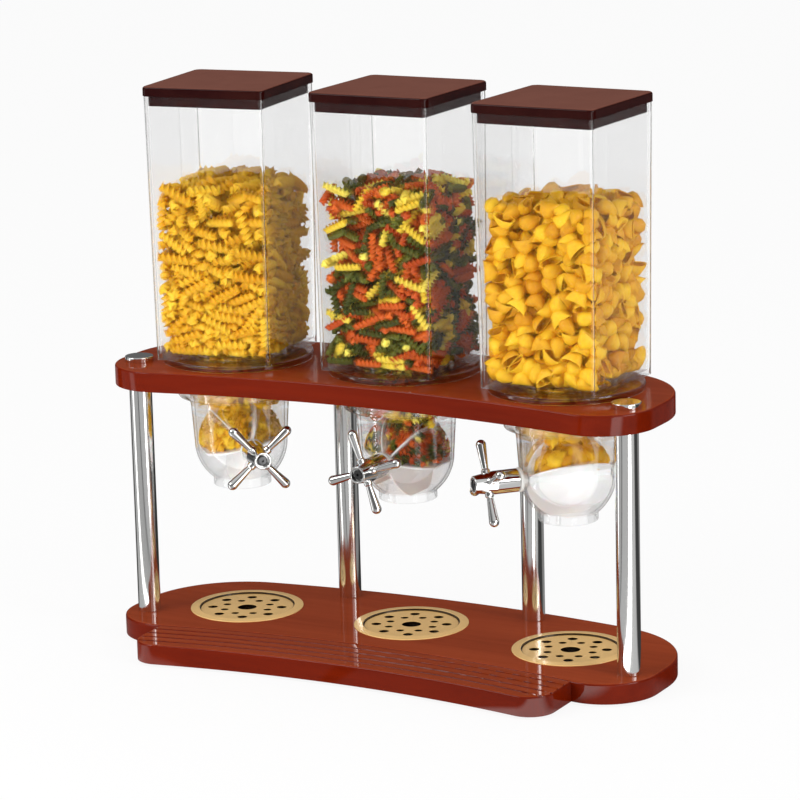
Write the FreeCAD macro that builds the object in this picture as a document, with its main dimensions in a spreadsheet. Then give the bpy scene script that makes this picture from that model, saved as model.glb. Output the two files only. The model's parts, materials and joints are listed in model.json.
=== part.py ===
import FreeCAD, Part
import Sketcher
import math
import os

# Gravity bulk food bin: three clear square hoppers on a two-tier lacquered stand. Each hopper
# feeds a clear round-bottomed bowl under the upper shelf, where a cross knob turns a six-vane
# portion wheel, and the portion falls through the outlet towards a drip dish in the base.
#
# Millimetres, +Z up. The origin is on the surface that the feet stand on, in the middle of the
# stand's length and depth. The user stands on the -Y side. The three bins stand on a gentle arc
# whose centre lies in front of the stand, so the boards are modelled about that centre.

SIZES = {
    # --- the arc that the bins and both boards follow
    "arc_radius": 1350.0,            # arc through the three bin axes
    "bin_end_inset": 121.0,          # the end bins' axes, from the tips of the boards
    # --- boards
    "board_thickness": 22.0,         # base board, front ledge and upper shelf
    "board_half_length": 321.0,      # from the middle bin to the tip of a board's end
    "board_back_reach": 99.0,        # from the bins' arc to the boards' back edge
    "board_front_reach": 92.0,       # from the bins' arc to the boards' front edge
    "board_back_corner": 114.0,      # radius of a board's back corners
    "board_front_corner": 59.0,      # radius of a board's front corners
    "board_edge_round": 2.5,         # rounding of the top edges
    "ledge_half_length": 250.0,      # grooved front ledge, from its middle to one end
    "ledge_reach": 163.5,            # from the bins' arc to the ledge's front edge
    "ledge_corner": 27.0,            # radius of the ledge's front corners
    "ledge_groove_width": 3.8,
    "ledge_groove_depth": 1.6,
    # --- dowels in the joint between base board and ledge
    "dowel_radius": 4.0,
    "dowel_length": 40.0,
    "dowel_spacing": 190.0,
    "dowel_clearance": 0.1,
    "dowel_end_space": 0.5,
    # --- rubber feet
    "foot_height": 3.0,
    "foot_radius": 11.0,
    "foot_bevel": 1.0,
    "foot_end_inset": 68.0,          # from the tip of the base to the feet at its ends
    "foot_front_reach": 78.0,        # from the bins' arc to the feet in front of it
    "foot_back_reach": 42.0,         # from the bins' arc to the end feet behind it
    "foot_back_inset": 22.0,         # from the back edge to the middle foot
    # --- chrome posts and what holds them
    "post_length": 262.0,            # clear height between base and shelf
    "post_radius": 12.5,
    "post_wall": 1.5,
    "post_end_inset": 27.0,          # the end posts, from the tips of the boards
    "post_front_reach": 69.0,        # the end posts, in front of the middle bin's axis
    "post_back_inset": 85.0,         # the back posts, from the end bins' axes inwards
    "post_back_reach": 69.0,         # the back posts, behind the middle bin's axis
    "plug_length": 20.0,             # tapped plug pressed into each end of a post
    "plug_clearance": 0.05,
    "bolt_radius": 4.0,
    "bolt_bite": 15.0,               # how far a bolt or stud reaches into a plug
    "bolt_hole_clearance": 0.4,
    "thread_clearance": 0.1,
    "bolt_head_radius": 6.5,
    "bolt_head_height": 5.3,
    "washer_radius": 9.0,
    "washer_thickness": 1.6,
    "counterbore_clearance": 1.0,
    "counterbore_depth": 9.0,
    "cap_radius": 15.6,
    "cap_height": 5.8,
    "cap_edge_round": 0.8,
    # --- seat ring: the clear flange that a hopper stands on
    "seat_flange_radius": 83.0,
    "seat_flange_thickness": 8.0,
    "seat_flange_round": 2.0,
    "throat_radius": 50.3,           # the passage from hopper to bowl
    "neck_radius": 54.0,
    "neck_reach": 18.0,              # how far the neck comes out under the shelf
    "neck_clearance": 0.3,           # neck in the shelf's hole and in the bowl's socket
    "bayonet_level": 9.0,            # middle of the neck's bayonet groove, below the shelf
    "bayonet_groove_height": 4.0,
    "bayonet_groove_depth": 1.4,
    "bayonet_lug_angle": 9.0,        # half the turn that one of the bowl's lugs takes up
    "bayonet_entry_angle": 12.0,     # half the turn that one of the neck's entries takes up
    "bayonet_clearance": 0.3,        # lugs in the groove
    "spigot_radius": 52.7,           # ring under the hopper that drops into the seat ring
    "spigot_depth": 5.6,
    "spigot_clearance": 0.3,
    # --- hopper
    "hopper_height": 288.5,
    "hopper_top_half": 69.6,
    "hopper_bottom_half": 67.0,
    "hopper_wall": 3.0,
    "hopper_floor": 4.5,
    "hopper_corner": 4.0,
    "hopper_inner_corner": 2.0,
    "outlet_chamfer": 2.0,
    "left_hopper_turn": 6.7,         # how each hopper stands on its seat ring
    "middle_hopper_turn": 0.0,
    "right_hopper_turn": -1.3,
    # --- lid
    "lid_overhang": 1.5,             # how far the lid stands out over the hopper's rim
    "lid_thickness": 10.5,
    "lid_corner": 7.0,
    "lid_edge_round": 2.5,
    "lid_plug_depth": 11.0,
    "lid_plug_wall": 2.5,
    "lid_plug_clearance": 0.6,
    # --- bowl, measured from the portion wheel's axis
    "axis_drop": 70.4,               # from the shelf's underside down to the wheel's axis
    "bowl_radius": 51.0,             # round bottom, outside
    "bowl_wall": 2.5,
    "bowl_top_radius": 53.7,         # straight upper wall, outside, where the flare starts
    "bowl_flare_radius": 13.0,
    "bowl_rim_height": 15.4,
    "bowl_rim_round": 1.5,
    "bowl_socket_margin": 2.0,       # socket floor below the neck's end
    "outlet_radius": 31.6,           # outlet ring, outside
    "outlet_wall": 2.4,
    "outlet_reach": 48.6,            # from the wheel's axis down to the outlet's mouth
    "gasket_thickness": 1.0,
    # --- bearings of the wheel
    "front_boss_radius": 12.5,
    "rear_boss_radius": 9.5,
    "boss_reach": 54.0,              # from the bowl's axis to the bosses' outer faces
    "front_bush_radius": 8.0,
    "rear_bush_radius": 6.0,
    "bush_clearance": 0.1,
    "front_bush_flange": 3.0,
    "rear_bush_flange": 2.5,
    "bush_flange_radius": 13.0,
    "rear_bush_flange_radius": 9.0,
    "bush_flange_round": 1.2,
    "running_clearance": 0.06,       # shaft in its bushes, radial
    # --- portion wheel
    "vane_radius": 47.5,             # the vanes' round edge, about the bowl's centre
    "vane_tip_reach": 44.0,          # the vanes' straight edge, from the shaft's axis
    "vane_thickness": 2.2,
    "wheel_half_length": 46.0,
    "wheel_hub_radius": 8.0,
    "left_wheel_angle": -12.0,       # each wheel's rest position about its shaft
    "middle_wheel_angle": 11.0,
    "right_wheel_angle": -24.3,
    # --- drive shaft
    "hex_half_width": 4.0,           # half the width across the shaft's flats
    "hex_clearance": 0.05,
    "hex_front_reach": 98.0,
    "journal_radius": 5.0,
    "stub_radius": 3.0,
    "shaft_end_play": 0.3,
    # --- cross knob
    "left_heading": 43.5,            # where each knob points, turned from straight ahead
    "middle_heading": -1.5,
    "right_heading": -41.5,
    "knob_radius": 12.4,
    "knob_front_radius": 9.2,
    "knob_front_reach": 106.7,
    "knob_gap": 0.4,                 # knob to bush
    "knob_back_round": 1.5,
    "knob_taper_start": 83.0,
    "arm_plane_reach": 90.6,
    "arm_reach": 41.3,               # to the middle of an arm's round tip
    "arm_tip_radius": 5.4,
    "arm_root_radius": 3.4,
    "arm_collar_radius": 4.7,
    "arm_collar_end": 14.0,
    "screw_recess_radius": 7.2,
    "screw_recess_depth": 5.2,
    "screw_radius": 2.0,
    "screw_bite": 9.0,
    "screw_run_out": 2.5,
    "screw_head_radius": 5.6,
    "screw_head_height": 3.6,
    "screw_head_round": 1.4,
    "screw_socket_half_width": 1.5,
    "screw_socket_depth": 2.0,
    # --- drip dish and its grid
    "dish_rim_radius": 62.8,
    "dish_rim_height": 1.6,
    "dish_wall": 1.2,
    "dish_depth": 11.2,
    "dish_radius": 49.7,
    "dish_ledge_drop": 2.2,
    "dish_clearance": 0.4,           # dish in the base board's recess
    "dish_recess_margin": 0.8,       # free depth under the dish
    "grid_radius": 51.8,
    "grid_clearance": 0.3,
    "grid_thickness": 1.6,
    "grid_centre_hole": 10.5,
    "grid_inner_hole": 3.9,
    "grid_inner_circle": 26.0,
    "grid_outer_hole": 4.7,
    "grid_outer_circle": 38.7,
}

# Counts that a change of size leaves alone.
LEDGE_GROOVES = 4
WHEEL_VANES = 6
SHAFT_FLATS = 6
KNOB_ARMS = 4
GRID_HOLES = 8
BAYONET_LUGS = 3

# How many flats of the shaft each cross knob is turned on from the wheel's own zero.
KNOB_TURN = {"left": 1, "middle": 1, "right": 0}

doc = FreeCAD.newDocument("bulk_food_bin")
sheet = doc.addObject("Spreadsheet::Sheet", "Sizes")


class Size:
    """A size with its number and the sheet expression that gives it."""

    def __init__(self, number, text):
        self.number = number
        self.text = text

    def __add__(self, other):
        other = as_size(other)
        return Size(self.number + other.number, f"({self.text} + {other.text})")

    def __sub__(self, other):
        other = as_size(other)
        return Size(self.number - other.number, f"({self.text} - {other.text})")

    def __mul__(self, other):
        other = as_size(other)
        return Size(self.number * other.number, f"({self.text} * {other.text})")

    def __truediv__(self, other):
        other = as_size(other)
        return Size(self.number / other.number, f"({self.text} / {other.text})")

    def __neg__(self):
        return Size(-self.number, f"(-1 * {self.text})")


def as_size(value):
    """Take a plain number as a size."""
    if isinstance(value, Size):
        return value
    return Size(float(value), repr(float(value)))


def root(size):
    """Square root of a size."""
    return Size(math.sqrt(size.number), f"sqrt({size.text})")


def sine(angle):
    """Sine of an angle in degrees."""
    return Size(math.sin(math.radians(angle.number)), f"sin({angle.text})")


def cosine(angle):
    """Cosine of an angle in degrees."""
    return Size(math.cos(math.radians(angle.number)), f"cos({angle.text})")


def leg(hypotenuse, other_leg):
    """The second short side of a right triangle."""
    return root(hypotenuse * hypotenuse - other_leg * other_leg)


class Sheet:
    """The driving dimensions, each a cell with an alias and an attribute of the same name."""

    def __init__(self, sizes):
        for row, (name, number) in enumerate(sizes.items(), start=1):
            sheet.set(f"A{row}", name.replace("_", " "))
            sheet.set(f"B{row}", str(number))
            sheet.setAlias(f"B{row}", name)
            setattr(self, name, Size(number, "Sizes." + name))


S = Sheet(SIZES)
ZERO = as_size(0)
doc.recompute()

# ---------------------------------------------------------------------------------------------
# Drawing helpers: everything below binds its sizes to the sheet.


def bind(thing, prop, size):
    """Drive one property of an object by the sheet."""
    thing.setExpression(prop, as_size(size).text)


def new_body(name):
    """A PartDesign body whose label names its node."""
    body = doc.addObject("PartDesign::Body", name)
    body.Label = name
    return body


def new_sketch(body, plane, name, offset=None):
    """A sketch on one of the body's own origin planes, moved along the plane's normal."""
    sketch = body.newObject("Sketcher::SketchObject", name)
    support = [f for f in body.Origin.OriginFeatures if f.Role == plane][0]
    sketch.AttachmentSupport = [(support, "")]
    sketch.MapMode = "FlatFace"
    if offset is not None:
        sketch.AttachmentOffset = FreeCAD.Placement(
            FreeCAD.Vector(0, 0, offset.number), FreeCAD.Rotation())
        bind(sketch, "AttachmentOffset.Base.z", offset)
    return sketch


def pin(sketch, geometry, end, x, y):
    """Fix a point of a sketch by its two distances from the sketch's origin."""
    for axis, kind, value in ((-2, "DistanceX", as_size(x)), (-1, "DistanceY", as_size(y))):
        if value.text == ZERO.text:
            sketch.addConstraint(Sketcher.Constraint("PointOnObject", geometry, end, axis))
        else:
            rule = Sketcher.Constraint(kind, -1, 1, geometry, end, value.number)
            number = sketch.addConstraint(rule)
            bind(sketch, f"Constraints[{number}]", value)


def arc_between(start, stop, radius, left):
    """An arc of the given radius from start to stop that turns left or right."""
    chord = stop - start
    half = chord.Length / 2
    side = FreeCAD.Vector(-chord.y, chord.x, 0).normalize()
    rise = math.sqrt(max(radius * radius - half * half, 0.0))
    centre = start + chord * 0.5 + side * (rise if left else -rise)
    first, last = (start, stop) if left else (stop, start)
    turn_start = math.atan2(first.y - centre.y, first.x - centre.x)
    turn_stop = math.atan2(last.y - centre.y, last.x - centre.x)
    circle = Part.Circle(centre, FreeCAD.Vector(0, 0, 1), radius)
    return Part.ArcOfCircle(circle, turn_start, turn_stop)


def outline(sketch, corners, arcs=None):
    """A closed outline through pinned corners.

    corners holds pairs of sizes. arcs maps the number of a side, which starts at the corner of
    that number, to (radius, turns_left).
    """
    arcs = arcs or {}
    points = [FreeCAD.Vector(as_size(x).number, as_size(y).number, 0) for x, y in corners]
    starts, stops = [], []
    for side, start in enumerate(points):
        stop = points[(side + 1) % len(points)]
        if side in arcs:
            radius, left = arcs[side]
            number = sketch.addGeometry(arc_between(start, stop, radius.number, left), False)
            starts.append((number, 1 if left else 2))
            stops.append((number, 2 if left else 1))
            rule = sketch.addConstraint(Sketcher.Constraint("Radius", number, radius.number))
            bind(sketch, f"Constraints[{rule}]", radius)
        else:
            number = sketch.addGeometry(Part.LineSegment(start, stop), False)
            starts.append((number, 1))
            stops.append((number, 2))
    for side, (x, y) in enumerate(corners):
        before = stops[side - 1]
        here = starts[side]
        sketch.addConstraint(Sketcher.Constraint("Coincident", *before, *here))
        pin(sketch, here[0], here[1], x, y)


def round_hole(sketch, x, y, radius):
    """A circle pinned by its centre."""
    centre = FreeCAD.Vector(as_size(x).number, as_size(y).number, 0)
    circle = Part.Circle(centre, FreeCAD.Vector(0, 0, 1), radius.number)
    number = sketch.addGeometry(circle, False)
    rule = sketch.addConstraint(Sketcher.Constraint("Radius", number, radius.number))
    bind(sketch, f"Constraints[{rule}]", radius)
    pin(sketch, number, 3, x, y)


def rounded_square(sketch, half, corner):
    """A square about the sketch's origin with rounded corners."""
    flat = half - corner
    corners = [(half, -flat), (half, flat), (flat, half), (-flat, half),
               (-half, flat), (-half, -flat), (-flat, -half), (flat, -half)]
    outline(sketch, corners, {side: (corner, True) for side in (1, 3, 5, 7)})


def hexagon(sketch, half_width):
    """A hexagon about the sketch's origin, with two flats level."""
    corner = half_width / cosine(as_size(180 / SHAFT_FLATS))
    corners = []
    for step in range(SHAFT_FLATS):
        turn = as_size(360 / SHAFT_FLATS * step)
        across = corner * cosine(turn)
        up = ZERO if step * 2 % SHAFT_FLATS == 0 else corner * sine(turn)
        corners.append((across, up))
    outline(sketch, corners)


def extrude(body, kind, sketch, length, name, backwards=False, both_ways=False):
    """A Pad or Pocket of one sketch."""
    feature = body.newObject("PartDesign::" + kind, name)
    feature.Profile = sketch
    feature.SideType = "Symmetric" if both_ways else "One side"
    feature.Length = length.number
    bind(feature, "Length", length)
    feature.Reversed = backwards
    sketch.Visibility = False
    return feature


def revolve(body, kind, sketch, name, axis="V_Axis"):
    """A full Revolution or Groove about an axis of its sketch."""
    feature = body.newObject("PartDesign::" + kind, name)
    feature.Profile = sketch
    feature.ReferenceAxis = (sketch, [axis])
    feature.Angle = 360
    sketch.Visibility = False
    return feature


def polar(body, feature, sketch, axis, count, name):
    """Copies of a feature about an axis of its sketch."""
    pattern = body.newObject("PartDesign::PolarPattern", name)
    pattern.Originals = [feature]
    pattern.Axis = (sketch, [axis])
    pattern.Angle = 360
    pattern.Occurrences = count
    body.Tip = pattern
    return pattern


def edge_names(feature, test):
    """Names of the edges of a feature's shape that pass the test."""
    doc.recompute()
    edges = feature.Shape.Edges
    return [f"Edge{number}" for number, edge in enumerate(edges, start=1) if test(edge)]


def dress(body, kind, feature, test, size, name):
    """A Fillet or Chamfer on the edges of a feature that pass the test."""
    names = edge_names(feature, test)
    if not names:
        raise ValueError("no edge for " + name)
    finish = body.newObject("PartDesign::" + kind, name)
    finish.Base = (feature, names)
    prop = "Radius" if kind == "Fillet" else "Size"
    setattr(finish, prop, size.number)
    bind(finish, prop, size)
    return finish


def at_height(height):
    """Test for edges that lie level at a height."""
    def test(edge):
        box = edge.BoundBox
        return abs(box.ZMin - height.number) < 1e-4 and abs(box.ZMax - height.number) < 1e-4
    return test


def place(thing, x, y, z, yaw=None, pitch=None):
    """Bind a piece's place, and its turn about the vertical and then about its own Y."""
    for prop, value in (("Base.x", x), ("Base.y", y), ("Base.z", z),
                        ("Rotation.Yaw", yaw), ("Rotation.Pitch", pitch)):
        if value is not None and as_size(value).text != ZERO.text:
            bind(thing, "Placement." + prop, value)


def primitive(kind, name, **sizes):
    """A Part primitive with its sizes bound to the sheet."""
    thing = doc.addObject("Part::" + kind, name)
    for prop, size in sizes.items():
        bind(thing, prop, size)
    return thing


def cylinder(name, radius, height, lift=ZERO):
    """A standing cylinder, lifted along Z."""
    thing = primitive("Cylinder", name, Radius=radius, Height=height)
    place(thing, ZERO, ZERO, lift)
    return thing


def combine(kind, name, base, tool):
    """A Part boolean of two objects."""
    thing = doc.addObject("Part::" + kind, name)
    thing.Base = base
    thing.Tool = tool
    return thing


def group(name, pieces):
    """One node that holds several separate solids."""
    thing = doc.addObject("Part::Compound", name)
    thing.Links = pieces
    thing.Label = name
    return thing


nodes = []


def keep(thing):
    """Put a finished piece on the list of nodes."""
    nodes.append(thing)
    return thing


# ---------------------------------------------------------------------------------------------
# Levels and places that several pieces share.

base_underside = S.foot_height
base_top = base_underside + S.board_thickness
shelf_underside = base_top + S.post_length
shelf_top = shelf_underside + S.board_thickness
hopper_seat = shelf_top + S.seat_flange_thickness
hopper_rim = hopper_seat + S.hopper_height
wheel_level = shelf_underside - S.axis_drop

# The stand is centred on the origin front to back, so the arc's centre follows from its outline.
ledge_front_radius = S.arc_radius - S.ledge_reach
stand_front = leg(ledge_front_radius + S.ledge_corner,
                  S.ledge_half_length - S.ledge_corner) - S.ledge_corner
stand_back = S.arc_radius + S.board_back_reach
arc_centre_y = -(stand_front + stand_back) / 2

BINS = ("left", "middle", "right")


end_bin_x = S.board_half_length - S.bin_end_inset


def bin_place(name):
    """A bin's axis, measured from the arc's centre."""
    if name == "middle":
        return ZERO, S.arc_radius
    x = -end_bin_x if name == "left" else end_bin_x
    return x, leg(S.arc_radius, end_bin_x)


def put_at_bin(thing, name, level, yaw=None, pitch=None):
    """Stand a piece on a bin's axis at a level."""
    x, y = bin_place(name)
    place(thing, x, y + arc_centre_y, level, yaw, pitch)
    return keep(thing)


def of_bin(name, what):
    """A size that each bin has its own value of."""
    return getattr(S, f"{name}_{what}")


post_front_x = S.board_half_length - S.post_end_inset
post_back_x = end_bin_x - S.post_back_inset
POSTS = {
    "post_front_left": (-post_front_x, S.arc_radius - S.post_front_reach),
    "post_back_left": (-post_back_x, S.arc_radius + S.post_back_reach),
    "post_back_right": (post_back_x, S.arc_radius + S.post_back_reach),
    "post_front_right": (post_front_x, S.arc_radius - S.post_front_reach),
}

# ---------------------------------------------------------------------------------------------
# Boards: solid wood, routed to one arc-shaped outline with round ends.


def arc_board(name, inner_radius, outer_radius, half_length):
    """A board between two arcs about the arc's centre, with straight ends."""
    body = new_body(name)
    sketch = new_sketch(body, "XY_Plane", name + "_outline")
    inner_y = leg(inner_radius, half_length)
    outer_y = leg(outer_radius, half_length)
    corners = [(-half_length, inner_y), (half_length, inner_y),
               (half_length, outer_y), (-half_length, outer_y)]
    outline(sketch, corners, {0: (inner_radius, False), 2: (outer_radius, True)})
    pad = extrude(body, "Pad", sketch, S.board_thickness, name + "_blank")
    return body, pad


def corner_test(x, y):
    """Test for the upright edges at the two corners at +-x and y."""
    def test(edge):
        box = edge.BoundBox
        upright = box.ZLength > S.board_thickness.number / 2
        at_x = abs(abs(box.Center.x) - x.number) < 1e-3
        return upright and at_x and abs(box.Center.y - y.number) < 1e-3
    return test


def stand_board(name):
    """The outline that base board and upper shelf share, with its top edge rounded."""
    inner = S.arc_radius - S.board_front_reach
    outer = S.arc_radius + S.board_back_reach
    half = S.board_half_length
    body, pad = arc_board(name, inner, outer, half)
    back = dress(body, "Fillet", pad, corner_test(half, leg(outer, half)),
                 S.board_back_corner, name + "_back_corners")
    front = dress(body, "Fillet", back, corner_test(half, leg(inner, half)),
                  S.board_front_corner, name + "_front_corners")
    dress(body, "Fillet", front, at_height(S.board_thickness), S.board_edge_round,
          name + "_top_edge")
    return body


def cut_round(body, name, places, radius, depth, from_top):
    """Round holes at several places, cut from the board's top or underside."""
    sketch = new_sketch(body, "XY_Plane", name + "_circles",
                        S.board_thickness if from_top else None)
    for x, y in places:
        round_hole(sketch, x, y, radius)
    return extrude(body, "Pocket", sketch, depth, name, backwards=not from_top)


def bore_dowel_holes(body):
    """Holes for the dowels, half in the board and half in the ledge, all parallel to Y."""
    for number, (x, y) in enumerate(dowel_places):
        spot = new_sketch(body, "XZ_Plane", f"dowel_circle_{number}", -y)
        round_hole(spot, x, S.board_thickness / 2, S.dowel_radius + S.dowel_clearance)
        extrude(body, "Pocket", spot, S.dowel_length + S.dowel_end_space * 2,
                f"dowel_hole_{number}", both_ways=True)


dowel_places = [(x, leg(S.arc_radius - S.board_front_reach, x))
                for x in (-S.dowel_spacing, ZERO, S.dowel_spacing)]
bin_places = [bin_place(name) for name in BINS]
post_places = list(POSTS.values())
bolt_hole = S.bolt_radius + S.bolt_hole_clearance
dish_shoulder_radius = S.grid_radius + S.grid_clearance + S.dish_wall

base_board = stand_board("base_board")
cut_round(base_board, "dish_recesses", bin_places, dish_shoulder_radius + S.dish_clearance,
          S.dish_depth + S.dish_recess_margin, True)
cut_round(base_board, "base_bolt_holes", post_places, bolt_hole, S.board_thickness, True)
cut_round(base_board, "base_counterbores", post_places,
          S.washer_radius + S.counterbore_clearance, S.counterbore_depth, False)
bore_dowel_holes(base_board)
place(base_board, ZERO, arc_centre_y, base_underside)
keep(base_board)

front_ledge, ledge_blank = arc_board("front_ledge", ledge_front_radius,
                                     S.arc_radius - S.board_front_reach, S.ledge_half_length)
ledge_corners = dress(front_ledge, "Fillet", ledge_blank,
                      corner_test(S.ledge_half_length,
                                  leg(ledge_front_radius, S.ledge_half_length)),
                      S.ledge_corner, "front_ledge_corners")
dress(front_ledge, "Fillet", ledge_corners, at_height(S.board_thickness), S.board_edge_round,
      "front_ledge_top_edge")
groove_sketch = new_sketch(front_ledge, "XZ_Plane", "front_ledge_groove_section")
groove_pitch = (S.ledge_reach - S.board_front_reach) / (LEDGE_GROOVES + 1)
groove_half = S.ledge_groove_width / 2
groove_round = (groove_half * groove_half / S.ledge_groove_depth + S.ledge_groove_depth) / 2
for step in range(1, LEDGE_GROOVES + 1):
    middle = ledge_front_radius + groove_pitch * step
    outline(groove_sketch, [(middle + groove_half, S.board_thickness),
                            (middle - groove_half, S.board_thickness)],
            {1: (groove_round, True)})
revolve(front_ledge, "Groove", groove_sketch, "front_ledge_grooves")
bore_dowel_holes(front_ledge)
place(front_ledge, ZERO, arc_centre_y, base_underside)
keep(front_ledge)

dowels = []
for number, (x, y) in enumerate(dowel_places):
    dowel = primitive("Cylinder", f"dowel_{number}", Radius=S.dowel_radius,
                      Height=S.dowel_length)
    dowel.Placement = FreeCAD.Placement(FreeCAD.Vector(), FreeCAD.Vector(1, 0, 0), 90)
    place(dowel, x, y + arc_centre_y + S.dowel_length / 2,
          base_underside + S.board_thickness / 2)
    dowels.append(dowel)
keep(group("ledge_dowels", dowels))

upper_shelf = stand_board("upper_shelf")
cut_round(upper_shelf, "throat_holes", bin_places, S.neck_radius + S.neck_clearance,
          S.board_thickness, True)
cut_round(upper_shelf, "stud_holes", post_places, bolt_hole, S.board_thickness, True)
place(upper_shelf, ZERO, arc_centre_y, shelf_underside)
keep(upper_shelf)

# ---------------------------------------------------------------------------------------------
# Rubber feet: six round pads with a chamfered edge, glued under the base.

foot_x = S.board_half_length - S.foot_end_inset
ledge_middle = S.arc_radius - (S.board_front_reach + S.ledge_reach) / 2
foot_places = [
    (-foot_x, S.arc_radius - S.foot_front_reach), (foot_x, S.arc_radius - S.foot_front_reach),
    (-foot_x, S.arc_radius + S.foot_back_reach), (foot_x, S.arc_radius + S.foot_back_reach),
    (ZERO, stand_back - S.foot_back_inset), (ZERO, ledge_middle),
]
feet = []
for number, (x, y) in enumerate(foot_places):
    foot = primitive("Cone", f"foot_{number}", Radius1=S.foot_radius - S.foot_bevel,
                     Radius2=S.foot_radius, Height=S.foot_height)
    place(foot, x, y + arc_centre_y, ZERO)
    feet.append(foot)
keep(group("rubber_feet", feet))

# ---------------------------------------------------------------------------------------------
# Posts: chrome tube with a tapped plug in each end. A bolt from below and a cap's stud from
# above clamp both boards to the posts.

post_bore = S.post_radius - S.post_wall
plugs, bolts, washers, caps = [], [], [], []
for name, (x, y) in POSTS.items():
    world_y = y + arc_centre_y
    tube = combine("Cut", name, cylinder(name + "_outside", S.post_radius, S.post_length),
                   cylinder(name + "_bore", post_bore, S.post_length))
    tube.Label = name
    place(tube, x, world_y, base_top)
    keep(tube)

    for end, level in (("bottom", base_top), ("top", shelf_underside - S.plug_length)):
        plug = combine("Cut", f"{name}_{end}_plug",
                       cylinder(f"{name}_{end}_plug_outside", post_bore - S.plug_clearance,
                                S.plug_length),
                       cylinder(f"{name}_{end}_plug_thread", S.bolt_radius + S.thread_clearance,
                                S.plug_length))
        place(plug, x, world_y, level)
        plugs.append(plug)

    washer_level = base_underside + S.counterbore_depth - S.washer_thickness
    washer = combine("Cut", name + "_washer",
                     cylinder(name + "_washer_outside", S.washer_radius, S.washer_thickness),
                     cylinder(name + "_washer_hole", bolt_hole, S.washer_thickness))
    place(washer, x, world_y, washer_level)
    washers.append(washer)

    shank = base_top - washer_level + S.bolt_bite
    bolt = combine("Fuse", name + "_bolt",
                   cylinder(name + "_bolt_head", S.bolt_head_radius, S.bolt_head_height),
                   cylinder(name + "_bolt_shank", S.bolt_radius, shank, S.bolt_head_height))
    place(bolt, x, world_y, washer_level - S.bolt_head_height)
    bolts.append(bolt)

    stud = S.board_thickness + S.bolt_bite
    cap = new_body(name + "_cap")
    cap_side = new_sketch(cap, "XZ_Plane", name + "_cap_side")
    outline(cap_side, [(ZERO, -stud), (S.bolt_radius, -stud), (S.bolt_radius, ZERO),
                       (S.cap_radius, ZERO), (S.cap_radius, S.cap_height),
                       (ZERO, S.cap_height)])
    turned = revolve(cap, "Revolution", cap_side, name + "_cap_turned")
    dress(cap, "Fillet", turned, at_height(S.cap_height), S.cap_edge_round,
          name + "_cap_edge")
    place(cap, x, world_y, shelf_top)
    caps.append(cap)
keep(group("post_plugs", plugs))
keep(group("base_bolts", bolts))
keep(group("bolt_washers", washers))
keep(group("post_caps", caps))

# ---------------------------------------------------------------------------------------------
# Pieces that each bin has.


def sector(sketch, inner, outer, half_angle, facing):
    """A piece of a ring about the sketch's origin, towards its +X side, or -X if facing is -1."""
    x, y = cosine(half_angle) * facing, sine(half_angle) * facing
    outline(sketch, [(inner * x, -inner * y), (outer * x, -outer * y),
                     (outer * x, outer * y), (inner * x, inner * y)],
            {1: (outer, True), 3: (inner, False)})


def make_seat_ring(name):
    """Clear ring that the hopper stands on; its neck goes down through the shelf."""
    body = new_body("seat_ring_" + name)
    side = new_sketch(body, "XZ_Plane", "seat_ring_side")
    neck_end = -(S.board_thickness + S.neck_reach)
    recess = S.spigot_radius + S.spigot_clearance
    recess_floor = S.seat_flange_thickness - S.spigot_depth - S.spigot_clearance
    outline(side, [
        (S.throat_radius, neck_end), (S.neck_radius, neck_end), (S.neck_radius, ZERO),
        (S.seat_flange_radius, ZERO), (S.seat_flange_radius, S.seat_flange_thickness),
        (recess, S.seat_flange_thickness), (recess, recess_floor),
        (S.throat_radius, recess_floor),
    ])
    turned = revolve(body, "Revolution", side, "seat_ring_turned")

    def outer_edge(edge):
        box = edge.BoundBox
        return box.ZLength < 1e-6 and abs(box.XLength / 2 - S.seat_flange_radius.number) < 1e-4
    dress(body, "Fillet", turned, outer_edge, S.seat_flange_round, "seat_ring_edges")

    # Bayonet: a groove round the neck that the bowl's lugs turn in, open below at the entries.
    middle = -(S.board_thickness + S.bayonet_level)
    half = S.bayonet_groove_height / 2
    groove_floor = S.neck_radius - S.bayonet_groove_depth
    outside = S.neck_radius + S.neck_clearance
    groove_side = new_sketch(body, "XZ_Plane", "bayonet_groove_side")
    outline(groove_side, [(groove_floor, middle - half), (outside, middle - half),
                          (outside, middle + half), (groove_floor, middle + half)])
    revolve(body, "Groove", groove_side, "bayonet_groove")
    entry_sketch = new_sketch(body, "XY_Plane", "bayonet_entry_sector", neck_end)
    sector(entry_sketch, groove_floor, outside, S.bayonet_entry_angle, -1)
    entry = extrude(body, "Pocket", entry_sketch, S.neck_reach - S.bayonet_level,
                    "bayonet_entry", backwards=True)
    polar(body, entry, entry_sketch, "N_Axis", BAYONET_LUGS, "bayonet_entries")
    return body


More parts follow.
